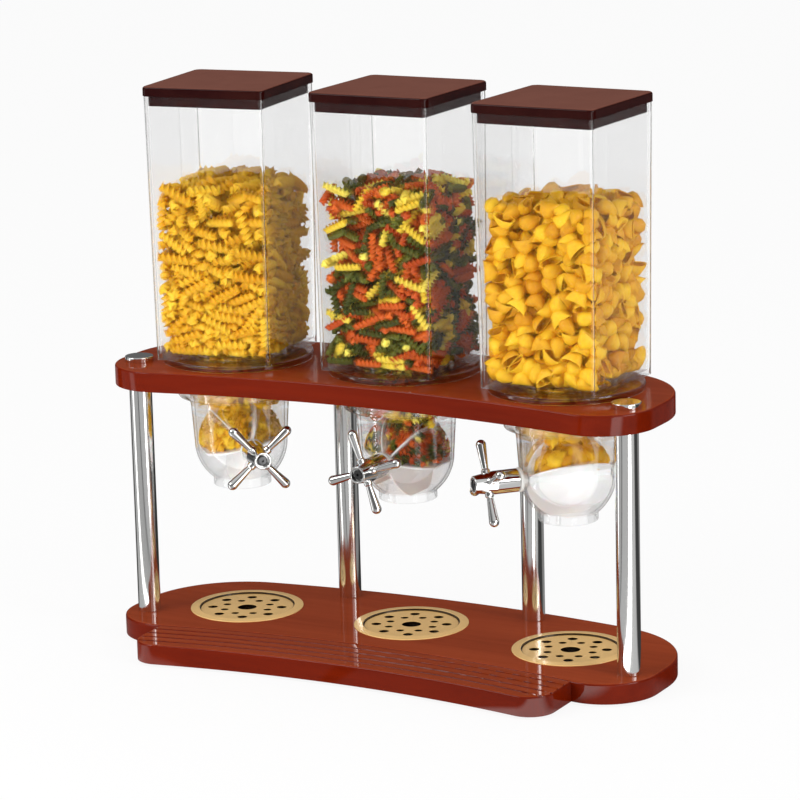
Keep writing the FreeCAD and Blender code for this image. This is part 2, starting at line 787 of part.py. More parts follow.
def make_hopper(name):
    """Clear square hopper, a little wider at the top, with a round outlet and spigot."""
    body = new_body("hopper_" + name)
    slope = (S.hopper_top_half - S.hopper_bottom_half) / S.hopper_height
    floor_half = S.hopper_bottom_half + slope * S.hopper_floor - S.hopper_wall

    foot = new_sketch(body, "XY_Plane", "hopper_foot")
    rounded_square(foot, S.hopper_bottom_half, S.hopper_corner)
    rim = new_sketch(body, "XY_Plane", "hopper_rim", S.hopper_height)
    rounded_square(rim, S.hopper_top_half, S.hopper_corner)
    outside = body.newObject("PartDesign::AdditiveLoft", "hopper_outside")
    outside.Profile = foot
    outside.Sections = [rim]
    outside.Ruled = True

    floor = new_sketch(body, "XY_Plane", "hopper_floor", S.hopper_floor)
    rounded_square(floor, floor_half, S.hopper_inner_corner)
    mouth = new_sketch(body, "XY_Plane", "hopper_mouth", S.hopper_height)
    rounded_square(mouth, S.hopper_top_half - S.hopper_wall, S.hopper_inner_corner)
    inside = body.newObject("PartDesign::SubtractiveLoft", "hopper_inside")
    inside.Profile = floor
    inside.Sections = [mouth]
    inside.Ruled = True

    spigot_circle = new_sketch(body, "XY_Plane", "hopper_spigot_circle")
    round_hole(spigot_circle, ZERO, ZERO, S.spigot_radius)
    extrude(body, "Pad", spigot_circle, S.spigot_depth, "hopper_spigot", backwards=True)
    outlet_circle = new_sketch(body, "XY_Plane", "hopper_outlet_circle", S.hopper_floor)
    round_hole(outlet_circle, ZERO, ZERO, S.throat_radius)
    outlet = extrude(body, "Pocket", outlet_circle, S.hopper_floor + S.spigot_depth,
                     "hopper_outlet")

    def outlet_edge(edge):
        box = edge.BoundBox
        round_edge = abs(box.XLength / 2 - S.throat_radius.number) < 1e-4
        return round_edge and at_height(S.hopper_floor)(edge)
    dress(body, "Chamfer", outlet, outlet_edge, S.outlet_chamfer, "hopper_outlet_chamfer")
    return body


def make_lid(name):
    """Dark lid: a rounded plate with a hollow plug that drops into the hopper."""
    body = new_body("lid_" + name)
    plate = new_sketch(body, "XY_Plane", "lid_plate_outline")
    rounded_square(plate, S.hopper_top_half + S.lid_overhang, S.lid_corner)
    pad = extrude(body, "Pad", plate, S.lid_thickness, "lid_plate")
    dress(body, "Fillet", pad, at_height(S.lid_thickness), S.lid_edge_round, "lid_top_edge")
    plug_half = S.hopper_top_half - S.hopper_wall - S.lid_plug_clearance
    plug = new_sketch(body, "XY_Plane", "lid_plug_outline")
    rounded_square(plug, plug_half, S.hopper_inner_corner + S.lid_plug_wall)
    rounded_square(plug, plug_half - S.lid_plug_wall, S.hopper_inner_corner)
    extrude(body, "Pad", plug, S.lid_plug_depth, "lid_plug", backwards=True)
    return body


def make_bowl(name):
    """Clear bowl: flared rim, straight wall, round bottom, outlet ring and two bosses."""
    body = new_body("bowl_" + name)
    side = new_sketch(body, "XZ_Plane", "bowl_side")
    inner = S.bowl_radius - S.bowl_wall
    outlet_bore = S.outlet_radius - S.outlet_wall
    rim_top = S.axis_drop - S.gasket_thickness
    rim_foot = rim_top - S.bowl_rim_height
    rim_radius = S.bowl_top_radius + S.bowl_flare_radius
    socket = S.neck_radius + S.neck_clearance
    socket_floor = S.axis_drop - S.neck_reach - S.bowl_socket_margin
    outline(side, [
        (outlet_bore, -S.outlet_reach),
        (S.outlet_radius, -S.outlet_reach),
        (S.outlet_radius, -leg(S.bowl_radius, S.outlet_radius)),
        (S.bowl_radius, ZERO),
        (S.bowl_top_radius, rim_foot - S.bowl_flare_radius),
        (rim_radius, rim_foot),
        (rim_radius, rim_top),
        (socket, rim_top),
        (socket, socket_floor),
        (S.throat_radius, socket_floor),
        (inner, ZERO),
        (outlet_bore, -leg(inner, outlet_bore)),
    ], {2: (S.bowl_radius, True), 4: (S.bowl_flare_radius, False), 10: (inner, False)})
    turned = revolve(body, "Revolution", side, "bowl_turned")

    def rim_edge(edge):
        box = edge.BoundBox
        return box.ZLength < 1e-6 and abs(box.XLength / 2 - rim_radius.number) < 1e-4
    dress(body, "Fillet", turned, rim_edge, S.bowl_rim_round, "bowl_rim_edges")

    # Bayonet lugs inside the socket, half-way round from the entries in the seat ring's neck.
    lug_height = S.bayonet_groove_height - S.bayonet_clearance * 2
    lug_sketch = new_sketch(body, "XY_Plane", "bayonet_lug_sector",
                            S.axis_drop - S.bayonet_level - lug_height / 2)
    sector(lug_sketch, S.neck_radius - S.bayonet_groove_depth + S.bayonet_clearance,
           socket + S.bowl_wall, S.bayonet_lug_angle, 1)
    lug = extrude(body, "Pad", lug_sketch, lug_height, "bayonet_lug")
    polar(body, lug, lug_sketch, "N_Axis", BAYONET_LUGS, "bayonet_lugs")

    # The XZ plane faces the front, so a pad goes forwards unless it is reversed. Each boss
    # starts inside the round wall, and its hole ends in the free space behind that wall.
    for end, radius, bush, facing in (("front", S.front_boss_radius, S.front_bush_radius, 1),
                                      ("rear", S.rear_boss_radius, S.rear_bush_radius, -1)):
        boss_root = leg(S.bowl_radius, radius) - S.bowl_wall / 4
        circle = new_sketch(body, "XZ_Plane", end + "_boss_circle", boss_root * facing)
        round_hole(circle, ZERO, ZERO, radius)
        extrude(body, "Pad", circle, S.boss_reach - boss_root, end + "_boss",
                backwards=facing < 0)
        hole = new_sketch(body, "XZ_Plane", end + "_bush_circle", S.boss_reach * facing)
        round_hole(hole, ZERO, ZERO, bush + S.bush_clearance)
        extrude(body, "Pocket", hole, S.boss_reach - inner + S.bowl_wall, end + "_bush_hole",
                backwards=facing < 0)
    return body


def make_bowl_gasket(name):
    """Flat white gasket between the bowl's rim and the shelf."""
    ring = S.bowl_top_radius + S.bowl_flare_radius - S.bowl_rim_round
    body = combine("Cut", "bowl_gasket_" + name,
                   cylinder("gasket_outside_" + name, ring, S.gasket_thickness),
                   cylinder("gasket_hole_" + name, S.neck_radius + S.neck_clearance,
                            S.gasket_thickness))
    body.Label = "bowl_gasket_" + name
    return body


def make_front_bush(name):
    """White bearing bush in the bowl's front boss, flanged on the outside."""
    body = new_body("front_bush_" + name)
    side = new_sketch(body, "XY_Plane", "front_bush_side")
    bore = S.journal_radius + S.running_clearance
    inner_end = S.bowl_radius - S.bowl_wall
    outer_end = S.boss_reach + S.front_bush_flange
    outline(side, [
        (bore, -outer_end), (S.bush_flange_radius, -outer_end),
        (S.bush_flange_radius, -S.boss_reach), (S.front_bush_radius, -S.boss_reach),
        (S.front_bush_radius, -inner_end), (bore, -inner_end),
    ])
    turned = revolve(body, "Revolution", side, "front_bush_turned")

    def flange_edge(edge):
        box = edge.BoundBox
        front = abs(box.YMin + outer_end.number) < 1e-4 and box.YLength < 1e-6
        return front and abs(box.XLength / 2 - S.bush_flange_radius.number) < 1e-4
    dress(body, "Fillet", turned, flange_edge, S.bush_flange_round, "front_bush_edge")
    return body


def make_rear_bush(name):
    """White bearing bush in the bowl's rear boss."""
    body = new_body("rear_bush_" + name)
    side = new_sketch(body, "XY_Plane", "rear_bush_side")
    bore = S.stub_radius + S.running_clearance
    inner_end = S.bowl_radius - S.bowl_wall
    outer_end = S.boss_reach + S.rear_bush_flange
    outline(side, [
        (bore, inner_end), (S.rear_bush_radius, inner_end), (S.rear_bush_radius, S.boss_reach),
        (S.rear_bush_flange_radius, S.boss_reach), (S.rear_bush_flange_radius, outer_end),
        (bore, outer_end),
    ])
    revolve(body, "Revolution", side, "rear_bush_turned")
    return body


def make_portion_wheel(name):
    """White silicone wheel: a hub with a hexagonal bore and six vanes that sweep the bowl."""
    body = new_body("portion_wheel_" + name)
    hub_section = new_sketch(body, "XZ_Plane", "wheel_hub_section")
    round_hole(hub_section, ZERO, ZERO, S.wheel_hub_radius)
    hexagon(hub_section, S.hex_half_width + S.hex_clearance)
    extrude(body, "Pad", hub_section, S.wheel_half_length * 2, "wheel_hub", both_ways=True)

    vane_side = new_sketch(body, "XY_Plane", "wheel_vane_side")
    half = S.wheel_half_length
    vane_root = (S.wheel_hub_radius + S.hex_half_width) / 2
    shoulder = leg(S.vane_radius, half)
    straight = leg(S.vane_radius, S.vane_tip_reach)
    outline(vane_side, [
        (vane_root, -half), (shoulder, -half), (S.vane_tip_reach, -straight),
        (S.vane_tip_reach, straight), (shoulder, half), (vane_root, half),
    ], {1: (S.vane_radius, True), 3: (S.vane_radius, True)})
    vane = extrude(body, "Pad", vane_side, S.vane_thickness, "wheel_vane", both_ways=True)
    polar(body, vane, vane_side, "V_Axis", WHEEL_VANES, "wheel_vanes")
    return body


def make_drive_shaft(name):
    """Hexagonal steel shaft with a round journal in front and a thin stub at the rear."""
    body = new_body("drive_shaft_" + name)
    flats = new_sketch(body, "XZ_Plane", "shaft_hexagon", S.hex_front_reach)
    hexagon(flats, S.hex_half_width)
    hex_end = S.wheel_half_length - S.shaft_end_play
    extrude(body, "Pad", flats, S.hex_front_reach + hex_end, "shaft_flats", backwards=True)

    journal_front = S.boss_reach + S.front_bush_flange + S.knob_gap
    journal = new_sketch(body, "XZ_Plane", "shaft_journal_circle", journal_front)
    round_hole(journal, ZERO, ZERO, S.journal_radius)
    extrude(body, "Pad", journal, journal_front - S.wheel_half_length - S.shaft_end_play,
            "shaft_journal", backwards=True)

    stub = new_sketch(body, "XZ_Plane", "shaft_stub_circle", -hex_end)
    round_hole(stub, ZERO, ZERO, S.stub_radius)
    extrude(body, "Pad", stub, S.boss_reach + S.rear_bush_flange - hex_end, "shaft_stub",
            backwards=True)

    thread = new_sketch(body, "XZ_Plane", "shaft_thread_circle", S.hex_front_reach)
    round_hole(thread, ZERO, ZERO, S.screw_radius + S.thread_clearance)
    extrude(body, "Pocket", thread, S.screw_bite + S.screw_run_out, "shaft_thread")
    return body


def make_knob(name):
    """Chrome cross knob: a tapered hub with four arms that swell to round tips."""
    body = new_body("knob_" + name)
    side = new_sketch(body, "XY_Plane", "knob_hub_side")
    back = S.boss_reach + S.front_bush_flange + S.knob_gap
    front = S.knob_front_reach
    recess_floor = front - S.screw_recess_depth
    outline(side, [
        (ZERO, -back), (S.knob_radius, -back), (S.knob_radius, -S.knob_taper_start),
        (S.knob_front_radius, -front), (S.screw_recess_radius, -front),
        (S.screw_recess_radius, -recess_floor), (ZERO, -recess_floor),
    ])
    hub = revolve(body, "Revolution", side, "knob_hub")

    def back_edge(edge):
        box = edge.BoundBox
        level = abs(box.YMin + back.number) < 1e-4 and box.YLength < 1e-6
        return level and abs(box.XLength / 2 - S.knob_radius.number) < 1e-4
    dress(body, "Fillet", hub, back_edge, S.knob_back_round, "knob_back_edge")

    arm_side = new_sketch(body, "XY_Plane", "knob_arm_side")
    middle = -S.arm_plane_reach
    arm_start = (S.knob_front_radius + S.screw_recess_radius) / 2
    collar = S.arm_collar_end
    collar_slope = S.arm_collar_radius - S.arm_root_radius
    outline(arm_side, [
        (arm_start, middle), (S.arm_reach + S.arm_tip_radius, middle),
        (S.arm_reach, middle + S.arm_tip_radius), (collar + collar_slope,
                                                   middle + S.arm_root_radius),
        (collar, middle + S.arm_collar_radius), (arm_start, middle + S.arm_collar_radius),
    ], {1: (S.arm_tip_radius, True)})
    axis_start = FreeCAD.Vector(0, middle.number, 0)
    axis_stop = FreeCAD.Vector(S.arm_reach.number, middle.number, 0)
    axis = arm_side.addGeometry(Part.LineSegment(axis_start, axis_stop), True)
    pin(arm_side, axis, 1, ZERO, middle)
    pin(arm_side, axis, 2, S.arm_reach, middle)
    arm = revolve(body, "Revolution", arm_side, "knob_arm", "Axis0")
    polar(body, arm, arm_side, "V_Axis", KNOB_ARMS, "knob_arms")

    socket = new_sketch(body, "XZ_Plane", "knob_socket_hexagon", back)
    hexagon(socket, S.hex_half_width + S.hex_clearance)
    extrude(body, "Pocket", socket, S.hex_front_reach + S.shaft_end_play - back, "knob_socket",
            backwards=True)
    hole = new_sketch(body, "XZ_Plane", "knob_screw_circle", recess_floor)
    round_hole(hole, ZERO, ZERO, S.screw_radius + S.thread_clearance)
    extrude(body, "Pocket", hole, recess_floor - S.hex_front_reach, "knob_screw_hole")
    return body


def make_knob_screw(name):
    """Round-headed socket screw in the knob's recessed front."""
    body = new_body("knob_screw_" + name)
    side = new_sketch(body, "XY_Plane", "screw_side")
    seat = S.knob_front_reach - S.screw_recess_depth
    tip = S.hex_front_reach - S.screw_bite
    head = seat + S.screw_head_height
    outline(side, [(ZERO, -tip), (S.screw_radius, -tip), (S.screw_radius, -seat),
                   (S.screw_head_radius, -seat), (S.screw_head_radius, -head), (ZERO, -head)])
    turned = revolve(body, "Revolution", side, "screw_turned")

    def head_edge(edge):
        box = edge.BoundBox
        return abs(box.YMin + head.number) < 1e-4 and box.YLength < 1e-6
    dress(body, "Fillet", turned, head_edge, S.screw_head_round, "screw_head_edge")
    socket = new_sketch(body, "XZ_Plane", "screw_socket_hexagon", head)
    hexagon(socket, S.screw_socket_half_width)
    extrude(body, "Pocket", socket, S.screw_socket_depth, "screw_socket")
    return body


def make_catch_dish(name):
    """Drip dish: flat rim on the base, a ledge for the grid and a shallow bowl below."""
    body = new_body("catch_dish_" + name)
    side = new_sketch(body, "XZ_Plane", "dish_side")
    shoulder_bore = dish_shoulder_radius - S.dish_wall
    bowl_bore = S.dish_radius - S.dish_wall
    outline(side, [
        (ZERO, -S.dish_depth), (S.dish_radius, -S.dish_depth),
        (S.dish_radius, -(S.dish_ledge_drop + S.dish_wall)),
        (dish_shoulder_radius, -(S.dish_ledge_drop + S.dish_wall)),
        (dish_shoulder_radius, ZERO), (S.dish_rim_radius, ZERO),
        (S.dish_rim_radius, S.dish_rim_height / 2),
        (dish_shoulder_radius, S.dish_rim_height), (shoulder_bore, S.dish_rim_height / 2),
        (shoulder_bore, -S.dish_ledge_drop), (bowl_bore, -S.dish_ledge_drop),
        (bowl_bore, S.dish_wall - S.dish_depth), (ZERO, S.dish_wall - S.dish_depth),
    ])
    revolve(body, "Revolution", side, "dish_turned")
    return body


def make_drip_grid(name):
    """Drip grid: a loose round plate with a finger hole and two rings of holes."""
    body = new_body("drip_grid_" + name)
    plate = new_sketch(body, "XY_Plane", "grid_circles")
    round_hole(plate, ZERO, ZERO, S.grid_radius)
    round_hole(plate, ZERO, ZERO, S.grid_centre_hole)
    extrude(body, "Pad", plate, S.grid_thickness, "grid_plate")
    for ring, radius, circle, first in (
            ("inner", S.grid_inner_hole, S.grid_inner_circle, 0.0),
            ("outer", S.grid_outer_hole, S.grid_outer_circle, 180.0 / GRID_HOLES)):
        spot = new_sketch(body, "XY_Plane", f"grid_{ring}_circle", S.grid_thickness)
        turn = as_size(first)
        y = circle * sine(turn) if first else ZERO
        round_hole(spot, circle * cosine(turn), y, radius)
        hole = extrude(body, "Pocket", spot, S.grid_thickness, f"grid_{ring}_hole")
        polar(body, hole, spot, "N_Axis", GRID_HOLES, f"grid_{ring}_holes")
    return body


for name in BINS:
    put_at_bin(make_hopper(name), name, hopper_seat, of_bin(name, "hopper_turn"))
    put_at_bin(make_lid(name), name, hopper_rim, of_bin(name, "hopper_turn"))
    put_at_bin(make_bowl_gasket(name), name, shelf_underside - S.gasket_thickness)
    heading = of_bin(name, "heading")
    put_at_bin(make_seat_ring(name), name, shelf_top, heading)
    for make in (make_bowl, make_front_bush, make_rear_bush):
        put_at_bin(make(name), name, wheel_level, heading)
    wheel_angle = of_bin(name, "wheel_angle")
    for make in (make_portion_wheel, make_drive_shaft):
        put_at_bin(make(name), name, wheel_level, heading, wheel_angle)
    cross_angle = wheel_angle + 360 / SHAFT_FLATS * KNOB_TURN[name]
    for make in (make_knob, make_knob_screw):
        put_at_bin(make(name), name, wheel_level, heading, cross_angle)
    put_at_bin(make_catch_dish(name), name, base_top)
    put_at_bin(make_drip_grid(name), name, base_top - S.dish_ledge_drop)

# ---------------------------------------------------------------------------------------------
# Check every object, then write one file for each node.

doc.recompute()
for thing in doc.Objects:
    bad = [state for state in thing.State if state in ("Invalid", "Error")]
    if bad:
        raise RuntimeError(f"{thing.Label} ({thing.Name}) is {bad}")
for node in nodes:
    if node.Shape.isNull() or not node.Shape.isValid():
        raise RuntimeError(f"{node.Label} has no valid shape")

os.makedirs("parts", exist_ok=True)
for node in nodes:
    node.Shape.exportStep(f"parts/{node.Label}.step")
    print(f"{node.Label}: {len(node.Shape.Solids)} solids, {node.Shape.Volume:.0f} mm3")
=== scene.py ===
import json
import math

import bmesh
import bpy
import numpy as np
from mathutils import Matrix, Vector


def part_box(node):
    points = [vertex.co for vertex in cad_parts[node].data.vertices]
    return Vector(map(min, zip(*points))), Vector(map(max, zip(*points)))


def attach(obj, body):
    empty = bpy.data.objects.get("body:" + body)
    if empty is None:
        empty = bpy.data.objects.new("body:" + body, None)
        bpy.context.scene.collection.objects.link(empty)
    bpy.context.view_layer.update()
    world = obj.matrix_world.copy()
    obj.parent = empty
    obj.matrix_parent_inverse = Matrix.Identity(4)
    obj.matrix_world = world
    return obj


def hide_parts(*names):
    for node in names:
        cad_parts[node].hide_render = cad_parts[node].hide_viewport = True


# A three-bin gravity dispenser for dry pasta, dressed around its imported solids. Everything is in
# metres in the solids' own frame: +X along the row of bins, -Y towards the user, +Z up.
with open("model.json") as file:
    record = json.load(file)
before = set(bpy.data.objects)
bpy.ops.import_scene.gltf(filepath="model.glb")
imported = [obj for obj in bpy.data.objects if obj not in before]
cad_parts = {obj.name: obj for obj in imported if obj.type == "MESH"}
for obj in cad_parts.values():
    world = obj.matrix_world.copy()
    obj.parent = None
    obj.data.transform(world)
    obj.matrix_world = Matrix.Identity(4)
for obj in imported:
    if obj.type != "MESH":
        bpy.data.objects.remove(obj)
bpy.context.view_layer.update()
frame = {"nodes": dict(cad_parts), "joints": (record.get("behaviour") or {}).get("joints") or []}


# --- Base board, upper shelf and grooved ledge ------------------------------------------------
# Three boards of solid wood routed to one arc, stained red-brown under a clear lacquer over a
# close, straight grain. Their tops are painted lighter as painted light, and their sides and the
# grooves under their tops darker as painted shade. The ledge is butt-joined in front.

MM = 0.001
# Painted light and shade: tops take the lighter stain, sides the darker one, which pores share.
PAINTED_LIT_TOP_STAIN = ((0.245, 0.0340, 0.0060, 1), (0.325, 0.0510, 0.0120, 1))
PAINTED_SHADE_SIDE_AND_PORE_STAIN = ((0.105, 0.0060, 0.0004, 1), (0.165, 0.0110, 0.0008, 1))
# Painted shade: below these depths under a board's top, the grooves take the darker stain.
GROOVE_SHADE_START = 0.3 * MM
GROOVE_SHADE_FULL = 0.9 * MM


def wire(tree, kind, inputs=(), **settings):
    """Adds a node to a tree. Its inputs are given as values or as sockets to link from."""
    node = tree.nodes.new(kind)
    for key, value in settings.items():
        setattr(node, key, value)
    for key, value in dict(inputs).items():
        socket = node.inputs[key]
        if isinstance(value, bpy.types.NodeSocket):
            tree.links.new(value, socket)
        else:
            socket.default_value = value
    return node


def new_material(name, **surface):
    """A material whose Principled shader holds the given constant values."""
    material = bpy.data.materials.new(name)
    material.use_nodes = True
    shader = material.node_tree.nodes["Principled BSDF"]
    for key, value in surface.items():
        shader.inputs[key.replace("_", " ")].default_value = value
    return material, material.node_tree


def object_coordinates(tree, scale=(1, 1, 1), turn=(0, 0, 0), place=(0, 0, 0)):
    """The piece's own coordinates through a Mapping node."""
    source = wire(tree, "ShaderNodeTexCoord")
    mapping = wire(tree, "ShaderNodeMapping", {
        "Vector": source.outputs["Object"], "Scale": scale, "Rotation": turn,
        "Location": place})
    return mapping.outputs["Vector"]


def blended(tree, factor, first, second, how="MIX"):
    """A colour between two, by a factor."""
    mix = wire(tree, "ShaderNodeMix", data_type="RGBA", blend_type=how)
    for name, value in (("Factor_Float", factor), ("A_Color", first), ("B_Color", second)):
        socket = [s for s in mix.inputs if s.identifier == name][0]
        if isinstance(value, bpy.types.NodeSocket):
            tree.links.new(value, socket)
        else:
            socket.default_value = value
    return [s for s in mix.outputs if s.identifier == "Result_Color"][0]


def ramp(tree, value, low, high, to_low=0.0, to_high=1.0):
    """A value taken from one range to another and clamped."""
    return wire(tree, "ShaderNodeMapRange", {
        "Value": value, "From Min": low, "From Max": high, "To Min": to_low,
        "To Max": to_high}).outputs["Result"]


def worked(tree, operation, *values):
    """What a Math node makes of its values."""
    return wire(tree, "ShaderNodeMath", dict(enumerate(values)),
                operation=operation).outputs[0]


def noise(tree, vector, scale, detail, **more):
    """A Noise Texture's value; further inputs go by name."""
    return wire(tree, "ShaderNodeTexNoise", {"Vector": vector, "Scale": scale,
                                             "Detail": detail, **more}).outputs["Fac"]


def axis_of(tree, vector, axis):
    """One axis of a vector."""
    return wire(tree, "ShaderNodeSeparateXYZ", {0: vector}).outputs[axis]


def finished(material, colour, roughness=None, height=None, strength=0.0, distance=0.0):
    """Links a material's colour, roughness and bump to its shader."""
    tree = material.node_tree
    shader = tree.nodes["Principled BSDF"]
    tree.links.new(colour, shader.inputs["Base Color"])
    if roughness is not None:
        tree.links.new(roughness, shader.inputs["Roughness"])
    if height is not None:
        bump = wire(tree, "ShaderNodeBump", {"Height": height, "Strength": strength,
                                             "Distance": distance})
        tree.links.new(bump.outputs["Normal"], shader.inputs["Normal"])
    return material


def shader_group(name, takes, gives):
    """An empty node group: its inputs as pairs of name and kind, and its value outputs."""
    group = bpy.data.node_groups.new(name, "ShaderNodeTree")
    for label, kind in takes:
        group.interface.new_socket(label, in_out="INPUT", socket_type="NodeSocket" + kind)
    for label in gives:
        group.interface.new_socket(label, in_out="OUTPUT", socket_type="NodeSocketFloat")
    return group, wire(group, "NodeGroupInput"), wire(group, "NodeGroupOutput")


def facing_up():
    """A node group: how far a surface faces up, from 0 on sides and below to 1 on top."""
    group, _, out = shader_group("facing_up", (), ("Mask",))
    normal = wire(group, "ShaderNodeNewGeometry").outputs["Normal"]
    group.links.new(ramp(group, axis_of(group, normal, "Z"), 0.55, 0.95), out.inputs["Mask"])
    return group


# The wood and the lids take their painted light on top from this mask.
FACING_UP = facing_up()


def lacquered_wood(name, offset, top_level):
    """Stained wood under lacquer, its grain along the row, with painted light on its top, painted
    shade on its sides and painted shade in the grooves under its top; offset moves the figure."""
    material, tree = new_material(
        name, Coat_Weight=0.38, Coat_Roughness=0.05, Coat_IOR=1.5, Specular_IOR_Level=0.0)
    figure, broad, streaks = (
        noise(tree, object_coordinates(tree, stretch, place=offset), 1.0, detail, **more)
        for stretch, detail, more in (
            ((3.0, 60.0, 60.0), 7.0, {"Roughness": 0.62, "Distortion": 0.35}),
            ((1.4, 9.0, 9.0), 3.0, {}), ((26.0, 900.0, 900.0), 2.0, {})))
    depth = ramp(tree, worked(tree, "ADD", figure, broad), 0.75, 1.30)
    # Painted shade in the grooves, by depth under the top.
    level = ramp(tree, axis_of(tree, object_coordinates(tree), "Z"),
                 top_level - GROOVE_SHADE_FULL, top_level - GROOVE_SHADE_START)
    up = wire(tree, "ShaderNodeGroup", node_tree=FACING_UP).outputs["Mask"]
    # Painted light on the tops, painted shade on the sides and in the grooves.
    tone = blended(tree, worked(tree, "MULTIPLY", up, level),
                   blended(tree, depth, *PAINTED_SHADE_SIDE_AND_PORE_STAIN), blended(tree, depth, *PAINTED_LIT_TOP_STAIN))
    pores = ramp(tree, streaks, 0.60, 0.74)
    tone = blended(tree, ramp(tree, pores, 0.0, 1.0, 0.0, 0.22), tone, PAINTED_SHADE_SIDE_AND_PORE_STAIN[0])
    return finished(material, tone, ramp(tree, figure, 0.3, 0.7, 0.34, 0.48),
                    worked(tree, "SUBTRACT", 1.0, pores), 0.2, 0.00006)


def opened(mesh):
    """A mesh's faces, open to be worked on."""
    work = bmesh.new()
    work.from_mesh(mesh)
    return work


def closed(work, mesh):
    """Writes what was worked on into a mesh, and returns the mesh."""
    work.to_mesh(mesh)
    work.free()
    return mesh


def shaded(mesh, sharp_above=35):
    """Smooth shading with sharp edges where faces meet at more than an angle in degrees."""
    limit = math.radians(sharp_above)
    work = opened(mesh)
    for edge in work.edges:
        edge.smooth = len(edge.link_faces) == 2 and edge.calc_face_angle() < limit
    closed(work, mesh).shade_smooth()
    return mesh


def put_in(name, data):
    """An object in the scene that holds a mesh, a camera or a lamp."""
    made = bpy.data.objects.new(name, data)
    bpy.context.scene.collection.objects.link(made)
    return made


def show(name, mesh, material, body, slot, *nodes):
    """Puts a finished mesh in the scene: its material and the body it rides on. What it is, slot,
    is not used.
    """
    piece = put_in(name, mesh)
    if material is not None:
        mesh.materials.clear()
        mesh.materials.append(material)
    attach(piece, body)
    if nodes:
        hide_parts(*nodes)
    return piece


def made_plain(piece, *helpers):
    """The plain mesh that an object's modifiers make; it and its helpers are removed."""
    bpy.context.view_layer.update()
    seen = piece.evaluated_get(bpy.context.evaluated_depsgraph_get())
    made = bpy.data.meshes.new_from_object(seen)
    for used in (*helpers, piece):
        bpy.data.objects.remove(used)
    return made


def merged_copy(node, sharp_above=30):
    """A solid's own mesh with its seams merged, so that round faces shade smoothly and the flat
    ones beside them stay flat."""
    mesh = frame["nodes"][node].data.copy()
    work = opened(mesh)
    bmesh.ops.remove_doubles(work, verts=work.verts, dist=1e-6)
    carrier = put_in("carrier", shaded(closed(work, mesh), sharp_above))
    carrier.modifiers.new("evened", "WEIGHTED_NORMAL").keep_sharp = True
    return made_plain(carrier)


for board, offset in (("base_board", (0, 0, 0)), ("upper_shelf", (0.7, 2.3, 5.1)),
                      ("front_ledge", (1.9, 4.7, 0.4))):
    wood = lacquered_wood(board + "_lacquer", offset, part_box(board)[1].z)
    show(board + "_wood", merged_copy(board), wood, "root", "lacquered_wood", board)


# --- Rubber feet, dowels, bolts, washers and plugs --------------------------------------------
# Moulded black pads glued under the base, beech dowels in the ledge's joint, and the zinc
# plated hardware that clamps the boards to the posts from below.

RUBBER = (0.018, 0.018, 0.019, 1)
RUBBER_DUST = (0.09, 0.085, 0.08, 1)
BEECH = (0.52, 0.33, 0.17, 1)
BEECH_FLECK = (0.30, 0.17, 0.08, 1)
ZINC = (0.52, 0.52, 0.50, 1)


def moulded_rubber():
    """Matt black rubber with a fine mould texture and a little grey dust."""
    material, tree = new_material("foot_rubber", Specular_IOR_Level=0.3)
    grit = noise(tree, object_coordinates(tree), 900.0, 3.0)
    dust = noise(tree, object_coordinates(tree), 60.0, 5.0)
    tone = blended(tree, ramp(tree, dust, 0.5, 0.8, 0.0, 0.4), RUBBER, RUBBER_DUST)
    return finished(material, tone, ramp(tree, dust, 0.3, 0.8, 0.55, 0.8), grit, 0.3, 0.0001)


def beech():
    """Pale planed beech with short dark flecks."""
    material, tree = new_material("dowel_beech", Roughness=0.6)
    fleck = noise(tree, object_coordinates(tree, (900.0, 60.0, 900.0)), 1.0, 3.0)
    return finished(material, blended(tree, ramp(tree, fleck, 0.45, 0.75), BEECH, BEECH_FLECK))


def turned_steel(name, tint, rough):
    """Turned metal: fine tool rings round no one axis, soft blotches in the gloss."""
    material, tree = new_material(name, Metallic=1.0)
    blotch = noise(tree, object_coordinates(tree), 160.0, 4.0)
    line = noise(tree, object_coordinates(tree, (150.0, 150.0, 5200.0)), 1.0, 2.0)
    dull = tuple(c * 0.78 for c in tint[:3]) + (1,)
    return finished(material, blended(tree, ramp(tree, blotch, 0.35, 0.7), tint, dull),
                    ramp(tree, line, 0.3, 0.7, rough * 0.8, rough * 1.35))


hardware_zinc = turned_steel("hardware_zinc", ZINC, 0.3)
for node, material in (("rubber_feet", moulded_rubber()), ("ledge_dowels", beech()),
                       ("post_plugs", hardware_zinc), ("base_bolts", hardware_zinc),
                       ("bolt_washers", hardware_zinc)):
    slot = {"rubber_feet": "black_rubber", "ledge_dowels": "plain_wood"}.get(node, "steel")
    show(node + "_part", merged_copy(node), material, "root", slot, node)


# --- Chrome posts and cap nuts ----------------------------------------------------------------
# Four lengths of bright chromed tube, each with its ends just broken, and a flat cap nut with a
# rounded edge on the shelf above each one. Handling leaves faint smudges in the plating.

POST_EDGE = 0.5 * MM
CAP_EDGE = 1.0 * MM
POST_WALL = 1.5 * MM
CHROME = (0.83, 0.83, 0.82, 1)
CHROME_SMUDGED = (0.66, 0.66, 0.65, 1)


